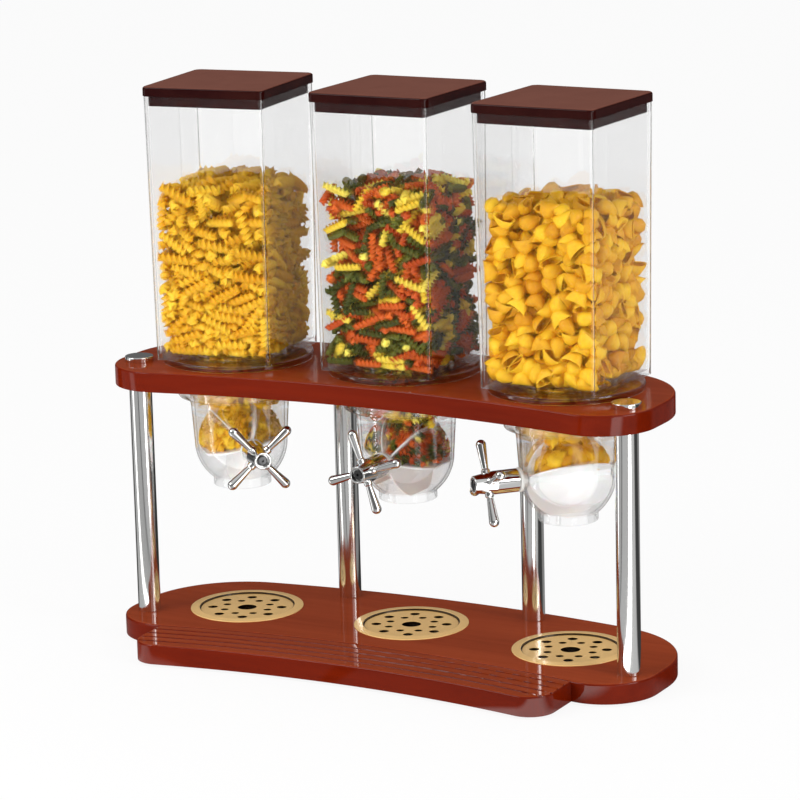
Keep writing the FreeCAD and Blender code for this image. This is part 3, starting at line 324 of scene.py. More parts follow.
def handling_marks():
    """A node group for touched surfaces: broad smudges and fine rubbed lines."""
    group, given, out = shader_group("handling_marks", [
        (label, "Float") for label in ("Smudge Scale", "Line Scale", "Seed")],
        ("Smudge", "Lines"))
    place = wire(group, "ShaderNodeTexCoord").outputs["Object"]
    smudge = wire(group, "ShaderNodeTexNoise", {
        "Vector": place, "W": given.outputs["Seed"], "Scale": given.outputs["Smudge Scale"],
        "Detail": 5.0, "Roughness": 0.6, "Distortion": 0.6}, noise_dimensions="4D")
    slanted = wire(group, "ShaderNodeMapping", {
        "Vector": place, "Rotation": (0.5, 0.9, 0.3), "Scale": (1.0, 0.03, 1.0)})
    lines = wire(group, "ShaderNodeTexNoise", {
        "Vector": slanted.outputs["Vector"], "W": given.outputs["Seed"],
        "Scale": given.outputs["Line Scale"], "Detail": 2.0}, noise_dimensions="4D")
    group.links.new(ramp(group, smudge.outputs["Fac"], 0.42, 0.78), out.inputs["Smudge"])
    group.links.new(ramp(group, lines.outputs["Fac"], 0.60, 0.80), out.inputs["Lines"])
    return group


MARKS = handling_marks()


def marks(tree, smudge_scale, line_scale, seed):
    """The smudge and line masks of the shared group, at a material's own scales."""
    node = wire(tree, "ShaderNodeGroup", {
        "Smudge Scale": smudge_scale, "Line Scale": line_scale, "Seed": seed},
        node_tree=MARKS)
    return node.outputs["Smudge"], node.outputs["Lines"]


def bright_chrome(name, seed, gloss):
    """Plating whose gloss is broken by smudges and rubbed lines; gloss is its roughness."""
    material, tree = new_material(name, Metallic=1.0)
    smudge, lines = marks(tree, 34.0, 420.0, seed)
    tone = blended(tree, ramp(tree, smudge, 0.0, 1.0, 0.0, 0.25), CHROME, CHROME_SMUDGED)
    worn = worked(tree, "MAXIMUM", smudge, lines)
    return finished(material, tone, ramp(tree, worn, 0.0, 1.0, gloss, gloss * 1.6))


def softened(corners, steps=5):
    """An outline of (radius, height) pairs, its corners rounded where a third number says."""
    points = []
    count = len(corners)
    for number, corner in enumerate(corners):
        here = Vector(corner[:2])
        rounding = corner[2] if len(corner) > 2 else 0.0
        if rounding <= 0:
            points.append(tuple(here))
            continue
        before = (Vector(corners[number - 1][:2]) - here).normalized()
        after = (Vector(corners[(number + 1) % count][:2]) - here).normalized()
        half = before.angle(after) / 2
        centre = here + (before + after).normalized() * (rounding / math.sin(half))
        reach = rounding / math.tan(half)
        start = here + before * reach - centre
        turn = start.angle_signed(here + after * reach - centre)
        for step in range(steps + 1):
            angle = -turn * step / steps
            spun = Matrix.Rotation(angle, 2) @ start
            points.append(tuple(centre + spun))
    return points


def skin(name, rings, ends=()):
    """A mesh over rings of as many points each. It closes on itself, or in two end points."""
    rings = [np.asarray(ring, float) for ring in rings]
    count = len(rings[0])
    pairs = [(i, i + 1) for i in range(len(rings) - 1)]
    if not ends:
        pairs.append((len(rings) - 1, 0))
    faces = []
    for low, high in pairs:
        for i in range(count):
            j = (i + 1) % count
            faces.append((low * count + i, low * count + j, high * count + j,
                          high * count + i))
    points = np.concatenate(rings)
    if ends:
        first, last = len(points), len(points) + 1
        points = np.concatenate([points, np.asarray(ends, float)])
        top = (len(rings) - 1) * count
        faces += [(first, (i + 1) % count, i) for i in range(count)]
        faces += [(last, top + i, top + (i + 1) % count) for i in range(count)]
    mesh = bpy.data.meshes.new(name)
    mesh.from_pydata([tuple(p) for p in points], [], faces)
    return mesh


LONG_RUN = 2.5 * MM
HOLD = 0.3 * MM


def braced(rings, ends=()):
    """Adds a ring close to each end of a long run between two rings, so that straight and flat
    stretches shade evenly."""
    rings = [np.asarray(ring, float) for ring in rings]
    tips = [np.tile(end, (len(rings[0]), 1)) for end in ends]
    chain = tips[:1] + rings + tips[1:] if ends else rings + rings[:1]
    done = []
    for low, high in zip(chain, chain[1:]):
        done.append(low)
        run = np.linalg.norm(high - low, axis=1).max()
        if run > LONG_RUN:
            done += [low + (high - low) * share for share in (HOLD / run, 1 - HOLD / run)]
    return done[1:] if ends else done


def lathe(name, outline, steps=96, sharp_above=35):
    """A turned mesh about local Z. The outline runs up on its outer side; one that starts and
    ends on the axis is closed there by a point."""
    solid = outline[0][0] < 1e-9
    ringed = outline[1:-1] if solid else outline
    turn = np.linspace(0, 2 * math.pi, steps, endpoint=False)
    rings = [np.column_stack([r * np.cos(turn), r * np.sin(turn), np.full(steps, z)])
             for r, z in ringed]
    ends = ((0, 0, outline[0][1]), (0, 0, outline[-1][1])) if solid else ()
    return shaded(skin(name, braced(rings, ends), ends), sharp_above)


def node_middle(node):
    """The middle of a solid's box, at its lowest level."""
    low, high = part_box(node)
    return Vector(((low.x + high.x) / 2, (low.y + high.y) / 2, low.z))


def points_mesh(name, places):
    """Loose points."""
    mesh = bpy.data.meshes.new(name)
    mesh.from_pydata([tuple(p) for p in places], [], [])
    return mesh


def grown(tree, mesh, piece, finish, **sizes):
    """The plain mesh that a copying tree makes of a mesh, a piece, its finish and any sizes."""
    carrier, lent = put_in(mesh.name, mesh), put_in(piece.name, piece)
    modifier = carrier.modifiers.new("grown", "NODES")
    modifier.node_group = tree
    given = {"Piece": lent, "Finish": finish, **sizes}
    for item in tree.interface.items_tree:
        if item.name in given:
            modifier[item.identifier] = given[item.name]
    return made_plain(carrier, lent)


def copying_tree(name, *sockets):
    """An empty Geometry Nodes tree that takes a piece to copy, its finish and named sizes."""
    tree = bpy.data.node_groups.new(name, "GeometryNodeTree")
    tree.is_modifier = True
    for way in ("INPUT", "OUTPUT"):
        tree.interface.new_socket("Geometry", in_out=way, socket_type="NodeSocketGeometry")
    for label, kind in (("Piece", "Object"), ("Finish", "Material"), *sockets):
        tree.interface.new_socket(label, in_out="INPUT", socket_type="NodeSocket" + kind)
    return tree, wire(tree, "NodeGroupInput")


def copied(tree, given, points, joined=None, **copies):
    """Ends a tree: real copies of its piece on points, with a mesh joined and the finish set."""
    piece = wire(tree, "GeometryNodeObjectInfo", {"Object": given.outputs["Piece"],
                                                  "As Instance": True})
    laid = wire(tree, "GeometryNodeInstanceOnPoints", {
        "Points": points, "Instance": piece.outputs["Geometry"], **copies})
    made = wire(tree, "GeometryNodeRealizeInstances", {"Geometry": laid.outputs["Instances"]})
    if joined is not None:
        both = wire(tree, "GeometryNodeJoinGeometry", {"Geometry": joined})
        tree.links.new(made.outputs["Geometry"], both.inputs["Geometry"])
        made = both
    done = wire(tree, "GeometryNodeSetMaterial", {
        "Geometry": made.outputs["Geometry"], "Material": given.outputs["Finish"]})
    out = wire(tree, "NodeGroupOutput")
    tree.links.new(done.outputs["Geometry"], out.inputs["Geometry"])
    return tree


def tree_set_out():
    """Stands a copy of one piece on each point."""
    tree, given = copying_tree("set_out")
    return copied(tree, given, given.outputs["Geometry"])


SET_OUT = tree_set_out()


def set_out(name, mesh, places, material, body, slot, *nodes):
    """Copies of one mesh at several places, as one finished piece."""
    made = grown(SET_OUT, points_mesh(name, places), mesh, material)
    made.name = name
    return show(name, made, None, body, slot, *nodes)


POSTS = ("post_front_left", "post_back_left", "post_back_right", "post_front_right")
post_low, post_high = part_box(POSTS[0])
post_length = post_high.z - post_low.z
post_radius = (post_high.x - post_low.x) / 2
post_bore = post_radius - POST_WALL
post_outline = softened([
    (post_bore, 0), (post_radius, 0, POST_EDGE), (post_radius, post_length, POST_EDGE),
    (post_bore, post_length)], steps=2)
post_chrome = bright_chrome("post_chrome", 1.0, 0.10)
set_out("posts", lathe("post", post_outline), [node_middle(p) for p in POSTS], post_chrome,
        "root", "chrome", *POSTS)

CAP_RADIUS = 15.6 * MM
CAP_HEIGHT = 5.8 * MM
STUD_RADIUS = 4.0 * MM
STUD_LENGTH = 37.0 * MM
cap_outline = softened([
    (0, -STUD_LENGTH), (STUD_RADIUS, -STUD_LENGTH, 0.8 * MM), (STUD_RADIUS, 0),
    (CAP_RADIUS, 0, 0.4 * MM), (CAP_RADIUS, CAP_HEIGHT, CAP_EDGE), (0, CAP_HEIGHT)])
shelf_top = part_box("upper_shelf")[1].z
cap_places = [Vector((*node_middle(p)[:2], shelf_top)) for p in POSTS]
set_out("post_cap_nuts", lathe("cap", cap_outline), cap_places,
        bright_chrome("cap_chrome", 4.0, 0.06), "root", "chrome", "post_caps")


# --- Seat rings -------------------------------------------------------------------------------
# A thick clear moulding for each bin: the flange lies on the shelf and carries the hopper, and
# its neck goes down through the shelf to the bowl. Clear acrylic, handled and a little scuffed.

BINS = ("left", "middle", "right")
SEAT_FLANGE = 83.0 * MM
SEAT_FLANGE_THICK = 8.0 * MM
SEAT_ROUND = 2.0 * MM
THROAT = 50.3 * MM
NECK = 54.0 * MM
NECK_END = -40.0 * MM
BAYONET_DEPTH = 1.4 * MM
BAYONET_LOW = -33.0 * MM
BAYONET_HIGH = -29.0 * MM
SPIGOT_RECESS = 53.0 * MM
SPIGOT_RECESS_FLOOR = 2.1 * MM
BROKEN_EDGE = 0.35 * MM
CLEAR = (1.0, 1.0, 0.997, 1)
# Painted shade: the grey that clear plastic turns where it is seen edge on.
CLEAR_PAINTED_RIM_SHADE = (0.60, 0.62, 0.62, 1)
CLEAR_THROUGH = (0.985, 0.985, 0.985, 1)


def clear_acrylic(name, seed, clarity, edge=0.05, turn=None, **surface):
    """Clear plastic that bends light, painted greyer where it is seen edge on, as painted shade.
    Light that falls on what is inside goes straight through, and so does a share, clarity, of what
    is seen
    face on: all but the rims and, on a square piece with a turn in radians, its upright corners."""
    material, tree = new_material(name, Transmission_Weight=1.0, IOR=1.45, **surface)
    smudge, lines = marks(tree, 9.0, 260.0, seed)
    facing = wire(tree, "ShaderNodeLayerWeight", {"Blend": 0.25}).outputs["Facing"]
    # Painted shade: the colour greys, up to edge, where the surface is seen edge on.
    grey = ramp(tree, facing, 0.55, 1.0, 0.0, edge)
    finished(material, blended(tree, grey, CLEAR, CLEAR_PAINTED_RIM_SHADE),
             ramp(tree, worked(tree, "MAXIMUM", smudge, lines), 0.0, 1.0, 0.0, 0.02))
    bent = ramp(tree, facing, 0.45, 0.75)
    if turn is not None:
        square_on = wire(tree, "ShaderNodeMapping", {
            "Vector": wire(tree, "ShaderNodeNewGeometry").outputs["Normal"],
            "Rotation": (0, 0, -turn)}, vector_type="VECTOR").outputs["Vector"]
        both = worked(tree, "MULTIPLY", axis_of(tree, square_on, "X"),
                      axis_of(tree, square_on, "Y"))
        corner = ramp(tree, worked(tree, "ABSOLUTE", both), 0.03, 0.15)
        bent = worked(tree, "MAXIMUM", bent, corner)
    path = wire(tree, "ShaderNodeLightPath").outputs
    within = worked(tree, "MAXIMUM", path["Is Shadow Ray"], path["Is Diffuse Ray"])
    through = worked(tree, "MAXIMUM", within, ramp(tree, bent, 0.0, 1.0, clarity, 0.0))
    passing = wire(tree, "ShaderNodeBsdfTransparent", {"Color": CLEAR_THROUGH})
    mixed = wire(tree, "ShaderNodeMixShader", {
        0: through, 1: tree.nodes["Principled BSDF"].outputs[0], 2: passing.outputs[0]})
    tree.links.new(mixed.outputs[0], tree.nodes["Material Output"].inputs["Surface"])
    return material


seat_outline = softened([
    (THROAT, NECK_END, BROKEN_EDGE), (NECK, NECK_END, BROKEN_EDGE), (NECK, BAYONET_LOW),
    (NECK - BAYONET_DEPTH, BAYONET_LOW), (NECK - BAYONET_DEPTH, BAYONET_HIGH),
    (NECK, BAYONET_HIGH), (NECK, 0), (SEAT_FLANGE, 0, SEAT_ROUND),
    (SEAT_FLANGE, SEAT_FLANGE_THICK, SEAT_ROUND),
    (SPIGOT_RECESS, SEAT_FLANGE_THICK, BROKEN_EDGE), (SPIGOT_RECESS, SPIGOT_RECESS_FLOOR),
    (THROAT, SPIGOT_RECESS_FLOOR, BROKEN_EDGE)])


def at_bin(name, level):
    """The matrix that stands a piece on a bin's axis at a level."""
    middle = node_middle("seat_ring_" + name)
    return Matrix.Translation((middle.x, middle.y, level))


def placed(mesh, matrix):
    """A mesh moved to its place."""
    mesh.transform(matrix)
    return mesh


for name in BINS:
    ring = placed(lathe("seat_ring", seat_outline, 128), at_bin(name, shelf_top))
    show("seat_ring_clear_" + name, ring, clear_acrylic("seat_acrylic_" + name, 2.0, 0.5, 0.0,
                                                          Coat_Weight=1.0, Coat_IOR=1.9),
         "root", "clear_plastic", "seat_ring_" + name)


# --- Gaskets and bowls ------------------------------------------------------------------------
# Each bowl is blown clear plastic with a thick flared rim, a round bottom, an outlet ring and
# two bosses for the bearings. It hangs on the neck against a flat white silicone gasket.

BOWL = 51.0 * MM
BOWL_WALL = 2.5 * MM
BOWL_TOP = 53.7 * MM
FLARE = 13.0 * MM
RIM_FOOT = 54.0 * MM
RIM_TOP = 69.4 * MM
RIM_ROUND = 1.5 * MM
SOCKET = 54.3 * MM
SOCKET_FLOOR = 50.4 * MM
OUTLET = 31.6 * MM
OUTLET_WALL = 2.4 * MM
OUTLET_MOUTH = -48.6 * MM
BOSS_REACH = 54.0 * MM
FRONT_BOSS = (12.5 * MM, 8.1 * MM)
REAR_BOSS = (9.5 * MM, 6.1 * MM)
GASKET_THICK = 1.0 * MM
SILICONE = (0.98, 0.98, 0.975, 1)
SILICONE_FLOURED = (0.94, 0.93, 0.88, 1)


def arc(centre, radius, start, stop, steps):
    """Points on an arc, from one angle in degrees to another."""
    turns = np.radians(np.linspace(start, stop, steps + 1))
    return [(centre[0] + radius * math.cos(a), centre[1] + radius * math.sin(a))
            for a in turns]


def soft_silicone(name, seed):
    """White silicone rubber: soft gloss, a fine dust of flour and light from inside."""
    material, tree = new_material(
        name, Subsurface_Weight=0.15, Subsurface_Scale=0.003, Specular_IOR_Level=0.4)
    dust = noise(tree, object_coordinates(tree, place=(seed, 0, 0)), 240.0, 5.0)
    tone = blended(tree, ramp(tree, dust, 0.5, 0.8, 0.0, 0.5), SILICONE, SILICONE_FLOURED)
    return finished(material, tone, ramp(tree, dust, 0.3, 0.8, 0.38, 0.62), dust, 0.15,
                    0.0001)


def carved(mesh, add=(), cut=()):
    """A mesh with others joined to it and cut from it."""
    piece = put_in(mesh.name, mesh)
    helpers = []
    for others, how in ((add, "UNION"), (cut, "DIFFERENCE")):
        for other in others:
            helpers.append(put_in(other.name, other))
            modifier = piece.modifiers.new(how, "BOOLEAN")
            modifier.operation = how
            modifier.solver = "EXACT"
            modifier.object = helpers[-1]
    return made_plain(piece, *helpers)


def rod(radius, low, high, steps=64, rounding=0.0):
    """A round rod along local Z."""
    return lathe("rod", softened([(0, low), (radius, low, rounding),
                                  (radius, high, rounding), (0, high)]), steps)


# Local Z of everything on a wheel's axis points to the front, and local Y points up.
FRONTWARDS = Matrix.Rotation(math.pi / 2, 4, "X")
BACKWARDS = Matrix.Rotation(math.pi, 4, "Y")
turn_joint = {joint["child"][len("wheel_"):]: joint for joint in frame["joints"]
              if joint["name"].endswith("_turn")}


def on_axis(name, angle=0.0):
    """The matrix of a wheel's axis, turned about itself by an angle in degrees."""
    joint = turn_joint[name]
    heading = math.atan2(joint["axis"][0], -joint["axis"][1])
    return (Matrix.Translation(joint["pos_m"]) @ Matrix.Rotation(heading, 4, "Z")
            @ Matrix.Rotation(math.radians(angle), 4, "Y") @ FRONTWARDS)


bowl_inner = BOWL - BOWL_WALL
outlet_bore = OUTLET - OUTLET_WALL
outer_start = math.degrees(math.acos(OUTLET / BOWL))
inner_start = math.degrees(math.acos(outlet_bore / bowl_inner))
rim_edge = BOWL_TOP + FLARE
bowl_outline = (
    softened([(outlet_bore, OUTLET_MOUTH, 0.8 * MM), (OUTLET, OUTLET_MOUTH, 0.8 * MM),
              (OUTLET, OUTLET_MOUTH + 4 * MM)])[:-1]
    + arc((0, 0), BOWL, -outer_start, 0, 18)
    + arc((rim_edge, RIM_FOOT - FLARE), FLARE, 180, 90, 12)
    + softened([(rim_edge - RIM_ROUND, RIM_FOOT), (rim_edge, RIM_FOOT, RIM_ROUND),
                (rim_edge, RIM_TOP, RIM_ROUND), (rim_edge - RIM_ROUND * 2, RIM_TOP)])[1:-1]
    + [(SOCKET, RIM_TOP), (SOCKET, SOCKET_FLOOR), (THROAT, SOCKET_FLOOR)]
    + arc((0, 0), bowl_inner, 0, -inner_start, 18))
gasket_outline = softened([
    (SOCKET, 0), (rim_edge - RIM_ROUND, 0, 0.2 * MM),
    (rim_edge - RIM_ROUND, GASKET_THICK, 0.2 * MM), (SOCKET, GASKET_THICK)])

for name in BINS:
    bowl = lathe("bowl", bowl_outline, 128)
    bowl.transform(FRONTWARDS.inverted())
    bosses, bores = [], []
    for facing, (boss, bore) in ((Matrix.Identity(4), FRONT_BOSS), (BACKWARDS, REAR_BOSS)):
        root = math.sqrt(BOWL ** 2 - boss ** 2) - BOWL_WALL / 4
        bosses.append(placed(rod(boss, root, BOSS_REACH, 64, 0.6 * MM), facing))
        bores.append(placed(rod(bore, bowl_inner - BOWL_WALL, BOSS_REACH + BOWL_WALL), facing))
    bowl = shaded(carved(bowl, bosses, bores), 30)
    show("bowl_clear_" + name, placed(bowl, on_axis(name)),
         clear_acrylic("bowl_acrylic_" + name, 3.0, 0.75, 0.10), "root", "clear_plastic",
         "bowl_" + name)

    gasket = lathe("gasket", gasket_outline, 128)
    gasket_level = node_middle("bowl_gasket_" + name).z
    show("gasket_" + name, placed(gasket, at_bin(name, gasket_level)),
         soft_silicone("gasket_silicone_" + name, 0.3), "root", "white_silicone",
         "bowl_gasket_" + name)


# --- Bearing bushes ---------------------------------------------------------------------------
# Flanged bushes of white acetal, pressed into the two bosses of each bowl, one in front and
# one behind. The drive shaft runs in them.

ACETAL = (0.80, 0.80, 0.77, 1)
ACETAL_RUBBED = (0.55, 0.54, 0.50, 1)


def acetal():
    """White engineering plastic with turning marks and a little rub-off."""
    material, tree = new_material("bush_acetal", Specular_IOR_Level=0.5)
    rub = noise(tree, object_coordinates(tree), 420.0, 4.0)
    tone = blended(tree, ramp(tree, rub, 0.5, 0.8, 0.0, 0.6), ACETAL, ACETAL_RUBBED)
    return finished(material, tone, ramp(tree, rub, 0.3, 0.7, 0.28, 0.42))


bush_acetal = acetal()
for name in BINS:
    for bush in ("front_bush_", "rear_bush_"):
        show(bush + "part_" + name, merged_copy(bush + name), bush_acetal, "root",
             "white_plastic", bush + name)


# --- Portion wheels ---------------------------------------------------------------------------
# Six flexible vanes on a hub, moulded in one piece of white silicone. They sweep the round
# bowl, and the pockets between them carry the portions to the outlet.

VANES = 6
VANE_THICK = 2.2 * MM
VANE_RADIUS = 47.5 * MM
VANE_TIP = 44.0 * MM
WHEEL_HALF = 46.0 * MM
WHEEL_HUB = 8.0 * MM
WHEEL_BORE = 4.75 * MM
VANE_EDGE = 0.7 * MM
WHEEL_ANGLE = {"left": -12.0, "middle": 11.0, "right": -24.3}


def slab(name, outline, thickness, edge, segments=3):
    """A flat plate about local XZ: an outline of (x, z) points, with its edges rounded."""
    work = bmesh.new()
    corners = [work.verts.new((x, -thickness / 2, z)) for x, z in outline]
    face = work.faces.new(corners)
    made = bmesh.ops.extrude_face_region(work, geom=[face])
    moved = [v for v in made["geom"] if isinstance(v, bmesh.types.BMVert)]
    bmesh.ops.translate(work, verts=moved, vec=(0, thickness, 0))
    bmesh.ops.recalc_face_normals(work, faces=work.faces)
    sharp = [e for e in work.edges if e.calc_face_angle() > math.radians(50)]
    bmesh.ops.bevel(work, geom=sharp, offset=edge, segments=segments, affect="EDGES",
                    profile=0.5)
    return shaded(closed(work, bpy.data.meshes.new(name)), 40)


def tree_round():
    """Repeats a piece about local Z, round a hub."""
    tree, given = copying_tree("round_an_axis", ("Count", "Int"))
    count = given.outputs["Count"]
    line = wire(tree, "GeometryNodeMeshLine", {"Count": count, "Offset": (0, 0, 0)})
    number = wire(tree, "GeometryNodeInputIndex").outputs[0]
    angle = worked(tree, "MULTIPLY", number, worked(tree, "DIVIDE", math.tau, count))
    euler = wire(tree, "ShaderNodeCombineXYZ", {"Z": angle})
    turn = wire(tree, "FunctionNodeEulerToRotation", {0: euler.outputs[0]})
    return copied(tree, given, line.outputs["Mesh"], given.outputs["Geometry"],
                  Rotation=turn.outputs[0])


ROUND_AN_AXIS = tree_round()


shoulder = math.degrees(math.acos(WHEEL_HALF / VANE_RADIUS))
tip_turn = math.degrees(math.acos(VANE_TIP / VANE_RADIUS))
vane_outline = ([(WHEEL_HUB - 2 * MM, -WHEEL_HALF)]
                + arc((0, 0), VANE_RADIUS, shoulder - 90, -tip_turn, 8)
                + arc((0, 0), VANE_RADIUS, tip_turn, 90 - shoulder, 8)
                + [(WHEEL_HUB - 2 * MM, WHEEL_HALF)])
for name in BINS:
    silicone = soft_silicone("wheel_silicone_" + name, 1.0)
    hub = lathe("wheel_hub", softened([
        (WHEEL_BORE, -WHEEL_HALF), (WHEEL_HUB, -WHEEL_HALF, 0.8 * MM),
        (WHEEL_HUB, WHEEL_HALF, 0.8 * MM), (WHEEL_BORE, WHEEL_HALF)]), 48)
    vane = slab("vane", vane_outline, VANE_THICK, VANE_EDGE)
    wheel = grown(ROUND_AN_AXIS, hub, vane, silicone, Count=VANES)
    show("wheel_" + name, placed(wheel, on_axis(name, WHEEL_ANGLE[name])), None,
         "wheel_" + name, "white_silicone", "portion_wheel_" + name)


# --- Drive shafts, cross knobs and screws -----------------------------------------------------
# A hexagonal steel shaft carries the wheel. The cast and chromed knob has a tapered hub and
# four arms that swell to round tips, and a socket screw in its recessed end holds it on.

KNOB_BACK = 57.4 * MM
KNOB_FRONT = 106.7 * MM
KNOB_RADIUS = 12.4 * MM
KNOB_NOSE = 9.2 * MM
KNOB_TAPER_START = 83.0 * MM
KNOB_BORE = 4.75 * MM
KNOB_BORE_END = 98.3 * MM
KNOB_RECESS = 7.2 * MM
KNOB_RECESS_DEPTH = 5.2 * MM
KNOB_SCREW_HOLE = 2.2 * MM
ARM_PLANE = 90.6 * MM
ARM_START = 8.2 * MM
ARM_COLLAR = 4.7 * MM
ARM_COLLAR_END = 14.0 * MM
ARM_ROOT = 3.4 * MM
ARM_REACH = 41.3 * MM
ARM_TIP = 5.4 * MM
ARMS = 4
KNOB_TURN = {"left": 60.0, "middle": 60.0, "right": 0.0}
SHAFT_STEEL = (0.58, 0.58, 0.57, 1)
SCREW_STEEL = (0.11, 0.11, 0.11, 1)

shaft_steel = turned_steel("shaft_steel", SHAFT_STEEL, 0.26)
screw_steel = turned_steel("screw_steel", SCREW_STEEL, 0.22)
knob_chrome = bright_chrome("knob_chrome", 8.0, 0.035)
knob_outline = softened([
    (KNOB_BORE, KNOB_BACK), (KNOB_RADIUS, KNOB_BACK, 1.5 * MM),
    (KNOB_RADIUS, KNOB_TAPER_START, 3.0 * MM), (KNOB_NOSE, KNOB_FRONT, 0.7 * MM),
    (KNOB_RECESS, KNOB_FRONT, 0.5 * MM), (KNOB_RECESS, KNOB_FRONT - KNOB_RECESS_DEPTH),
    (KNOB_SCREW_HOLE, KNOB_FRONT - KNOB_RECESS_DEPTH), (KNOB_SCREW_HOLE, KNOB_BORE_END),
    (KNOB_BORE, KNOB_BORE_END)])
tip_lean = math.degrees(math.asin((ARM_TIP - ARM_ROOT) / (ARM_REACH - ARM_COLLAR_END)))
arm_outline = (
    [(0, ARM_START)]
    + softened([(0, ARM_START), (ARM_COLLAR, ARM_START),
                (ARM_COLLAR, ARM_COLLAR_END, 0.8 * MM),
                (ARM_ROOT, ARM_COLLAR_END + 1.3 * MM, 0.6 * MM),
                (ARM_TIP, ARM_REACH)])[1:-1]
    + arc((0, ARM_REACH), ARM_TIP, -tip_lean, 90, 12))
arm_outline[-1] = (0, arm_outline[-1][1])
arm_turn = Matrix.Translation((0, 0, ARM_PLANE)) @ Matrix.Rotation(math.pi / 2, 4, "Y")
for name in BINS:
    show("drive_shaft_part_" + name, merged_copy("drive_shaft_" + name), shaft_steel,
         "wheel_" + name, "steel", "drive_shaft_" + name)
    show("knob_screw_part_" + name, merged_copy("knob_screw_" + name), screw_steel,
         "wheel_" + name, "steel", "knob_screw_" + name)
    hub = lathe("knob_hub", knob_outline, 96)
    arm = placed(lathe("knob_arm", arm_outline, 48), arm_turn)
    knob = grown(ROUND_AN_AXIS, hub, arm, knob_chrome, Count=ARMS)
    angle = WHEEL_ANGLE[name] + KNOB_TURN[name]
    show("cross_knob_" + name, placed(knob, on_axis(name, angle)), None, "wheel_" + name,
         "chrome", "knob_" + name)


# --- Hoppers ----------------------------------------------------------------------------------
# Square jars moulded in clear acrylic with a slight draught, a thick floor and a round outlet
# whose spigot drops into the seat ring. Each one stands turned a little its own way.

HOPPER_HEIGHT = 288.5 * MM
HOPPER_TOP = 69.6 * MM
HOPPER_BOTTOM = 67.0 * MM
HOPPER_WALL = 3.0 * MM
HOPPER_FLOOR = 4.5 * MM
HOPPER_CORNER = 4.0 * MM
HOPPER_INNER_CORNER = 2.0 * MM
HOPPER_RIM_ROUND = 0.8 * MM
HOPPER_FILLET = 1.5 * MM
SPIGOT = 52.7 * MM
SPIGOT_DEPTH = 5.6 * MM
OUTLET_CHAMFER = 2.0 * MM
HOPPER_TURN = {"left": 6.7, "middle": 0.0, "right": -1.3}
CORNER_STEPS = 6
SIDE_STEPS = 16


def square_ring(half, corner, level):
    """Points round a square with round corners, at a level."""
    inset = half - corner
    points = []
    for side in range(4):
        turn = np.array(Matrix.Rotation(side * math.pi / 2, 2))
        for along in (-inset, *np.linspace(HOLD - inset, inset - HOLD, SIDE_STEPS)):
            points.append(turn @ (half, along))
        for a in np.linspace(0, math.pi / 2, CORNER_STEPS, endpoint=False):
            points.append(turn @ (inset + corner * math.cos(a), inset + corner * math.sin(a)))
    points = np.array(points)
    return np.column_stack([points, np.full(len(points), level)])


def round_ring(radius, level, like):
    """Points round a circle, in line with those of a square ring."""
    turns = np.arctan2(like[:, 1], like[:, 0])
    return np.column_stack([radius * np.cos(turns), radius * np.sin(turns),
                            np.full(len(turns), level)])


def eased(half, corner, level, across, down, angles):
    """Square rings round an eased edge, from angle to angle in degrees."""
    return [square_ring(half - across * (1 - math.cos(a)), corner,
                        level - down * (1 - math.sin(a))) for a in np.radians(angles)]


def hopper_mesh():
    """The jar: outside up, rim, inside down, floor and outlet."""
    slope = (HOPPER_TOP - HOPPER_BOTTOM) / HOPPER_HEIGHT
    foot = square_ring(HOPPER_BOTTOM - BROKEN_EDGE, HOPPER_CORNER, 0)
    inner_top = HOPPER_TOP - HOPPER_WALL
    inner_floor = HOPPER_BOTTOM + slope * HOPPER_FLOOR - HOPPER_WALL
    edge = HOPPER_RIM_ROUND
    rings = [
        round_ring(THROAT + BROKEN_EDGE, -SPIGOT_DEPTH, foot),
        round_ring(SPIGOT - BROKEN_EDGE, -SPIGOT_DEPTH, foot),
        round_ring(SPIGOT, -SPIGOT_DEPTH + BROKEN_EDGE, foot), round_ring(SPIGOT, 0, foot),
        foot, square_ring(HOPPER_BOTTOM, HOPPER_CORNER, BROKEN_EDGE)]
    rings += eased(HOPPER_TOP, HOPPER_CORNER, HOPPER_HEIGHT, edge, edge, (0, 30, 60, 90))
    rings += eased(inner_top, HOPPER_INNER_CORNER, HOPPER_HEIGHT, -edge, edge, (90, 60, 30, 0))
    rings += eased(inner_floor, HOPPER_INNER_CORNER, HOPPER_FLOOR, HOPPER_FILLET,
                   -HOPPER_FILLET, (0, 30, 60, 90))
    rings += [round_ring(THROAT + OUTLET_CHAMFER, HOPPER_FLOOR, foot),
              round_ring(THROAT, HOPPER_FLOOR - OUTLET_CHAMFER, foot),
              round_ring(THROAT, -SPIGOT_DEPTH + BROKEN_EDGE, foot)]
    return shaded(skin("hopper", braced(rings)), 35)


hopper_seat = shelf_top + SEAT_FLANGE_THICK


def at_hopper(name, height=0.0):
    """The matrix that stands a piece at a height on a hopper's seat, turned as the hopper is."""
    turn = Matrix.Rotation(math.radians(HOPPER_TURN[name]), 4, "Z")
    return at_bin(name, hopper_seat + height) @ turn


for name in BINS:
    show("hopper_clear_" + name, placed(hopper_mesh(), at_hopper(name)),
         clear_acrylic("hopper_acrylic_" + name, 5.0, 0.84,
                       turn=math.radians(HOPPER_TURN[name])), "hopper_" + name,
         "clear_plastic", "hopper_" + name)


# --- Lids -------------------------------------------------------------------------------------
# Dark brown moulded lids: a plate with rounded edges on a hollow plug that drops into the
# hopper. Satin gloss on top, with fine scratches from stacking and a few fingermarks.

LID_HALF = 71.1 * MM
LID_THICK = 10.5 * MM
LID_CORNER = 7.0 * MM
LID_ROUND = 2.5 * MM
PLUG_HALF = 66.0 * MM
PLUG_WALL = 2.5 * MM
PLUG_DEPTH = 11.0 * MM
PLUG_CORNER = 4.5 * MM
LID_BROWN = (0.016, 0.0010, 0.0010, 1)
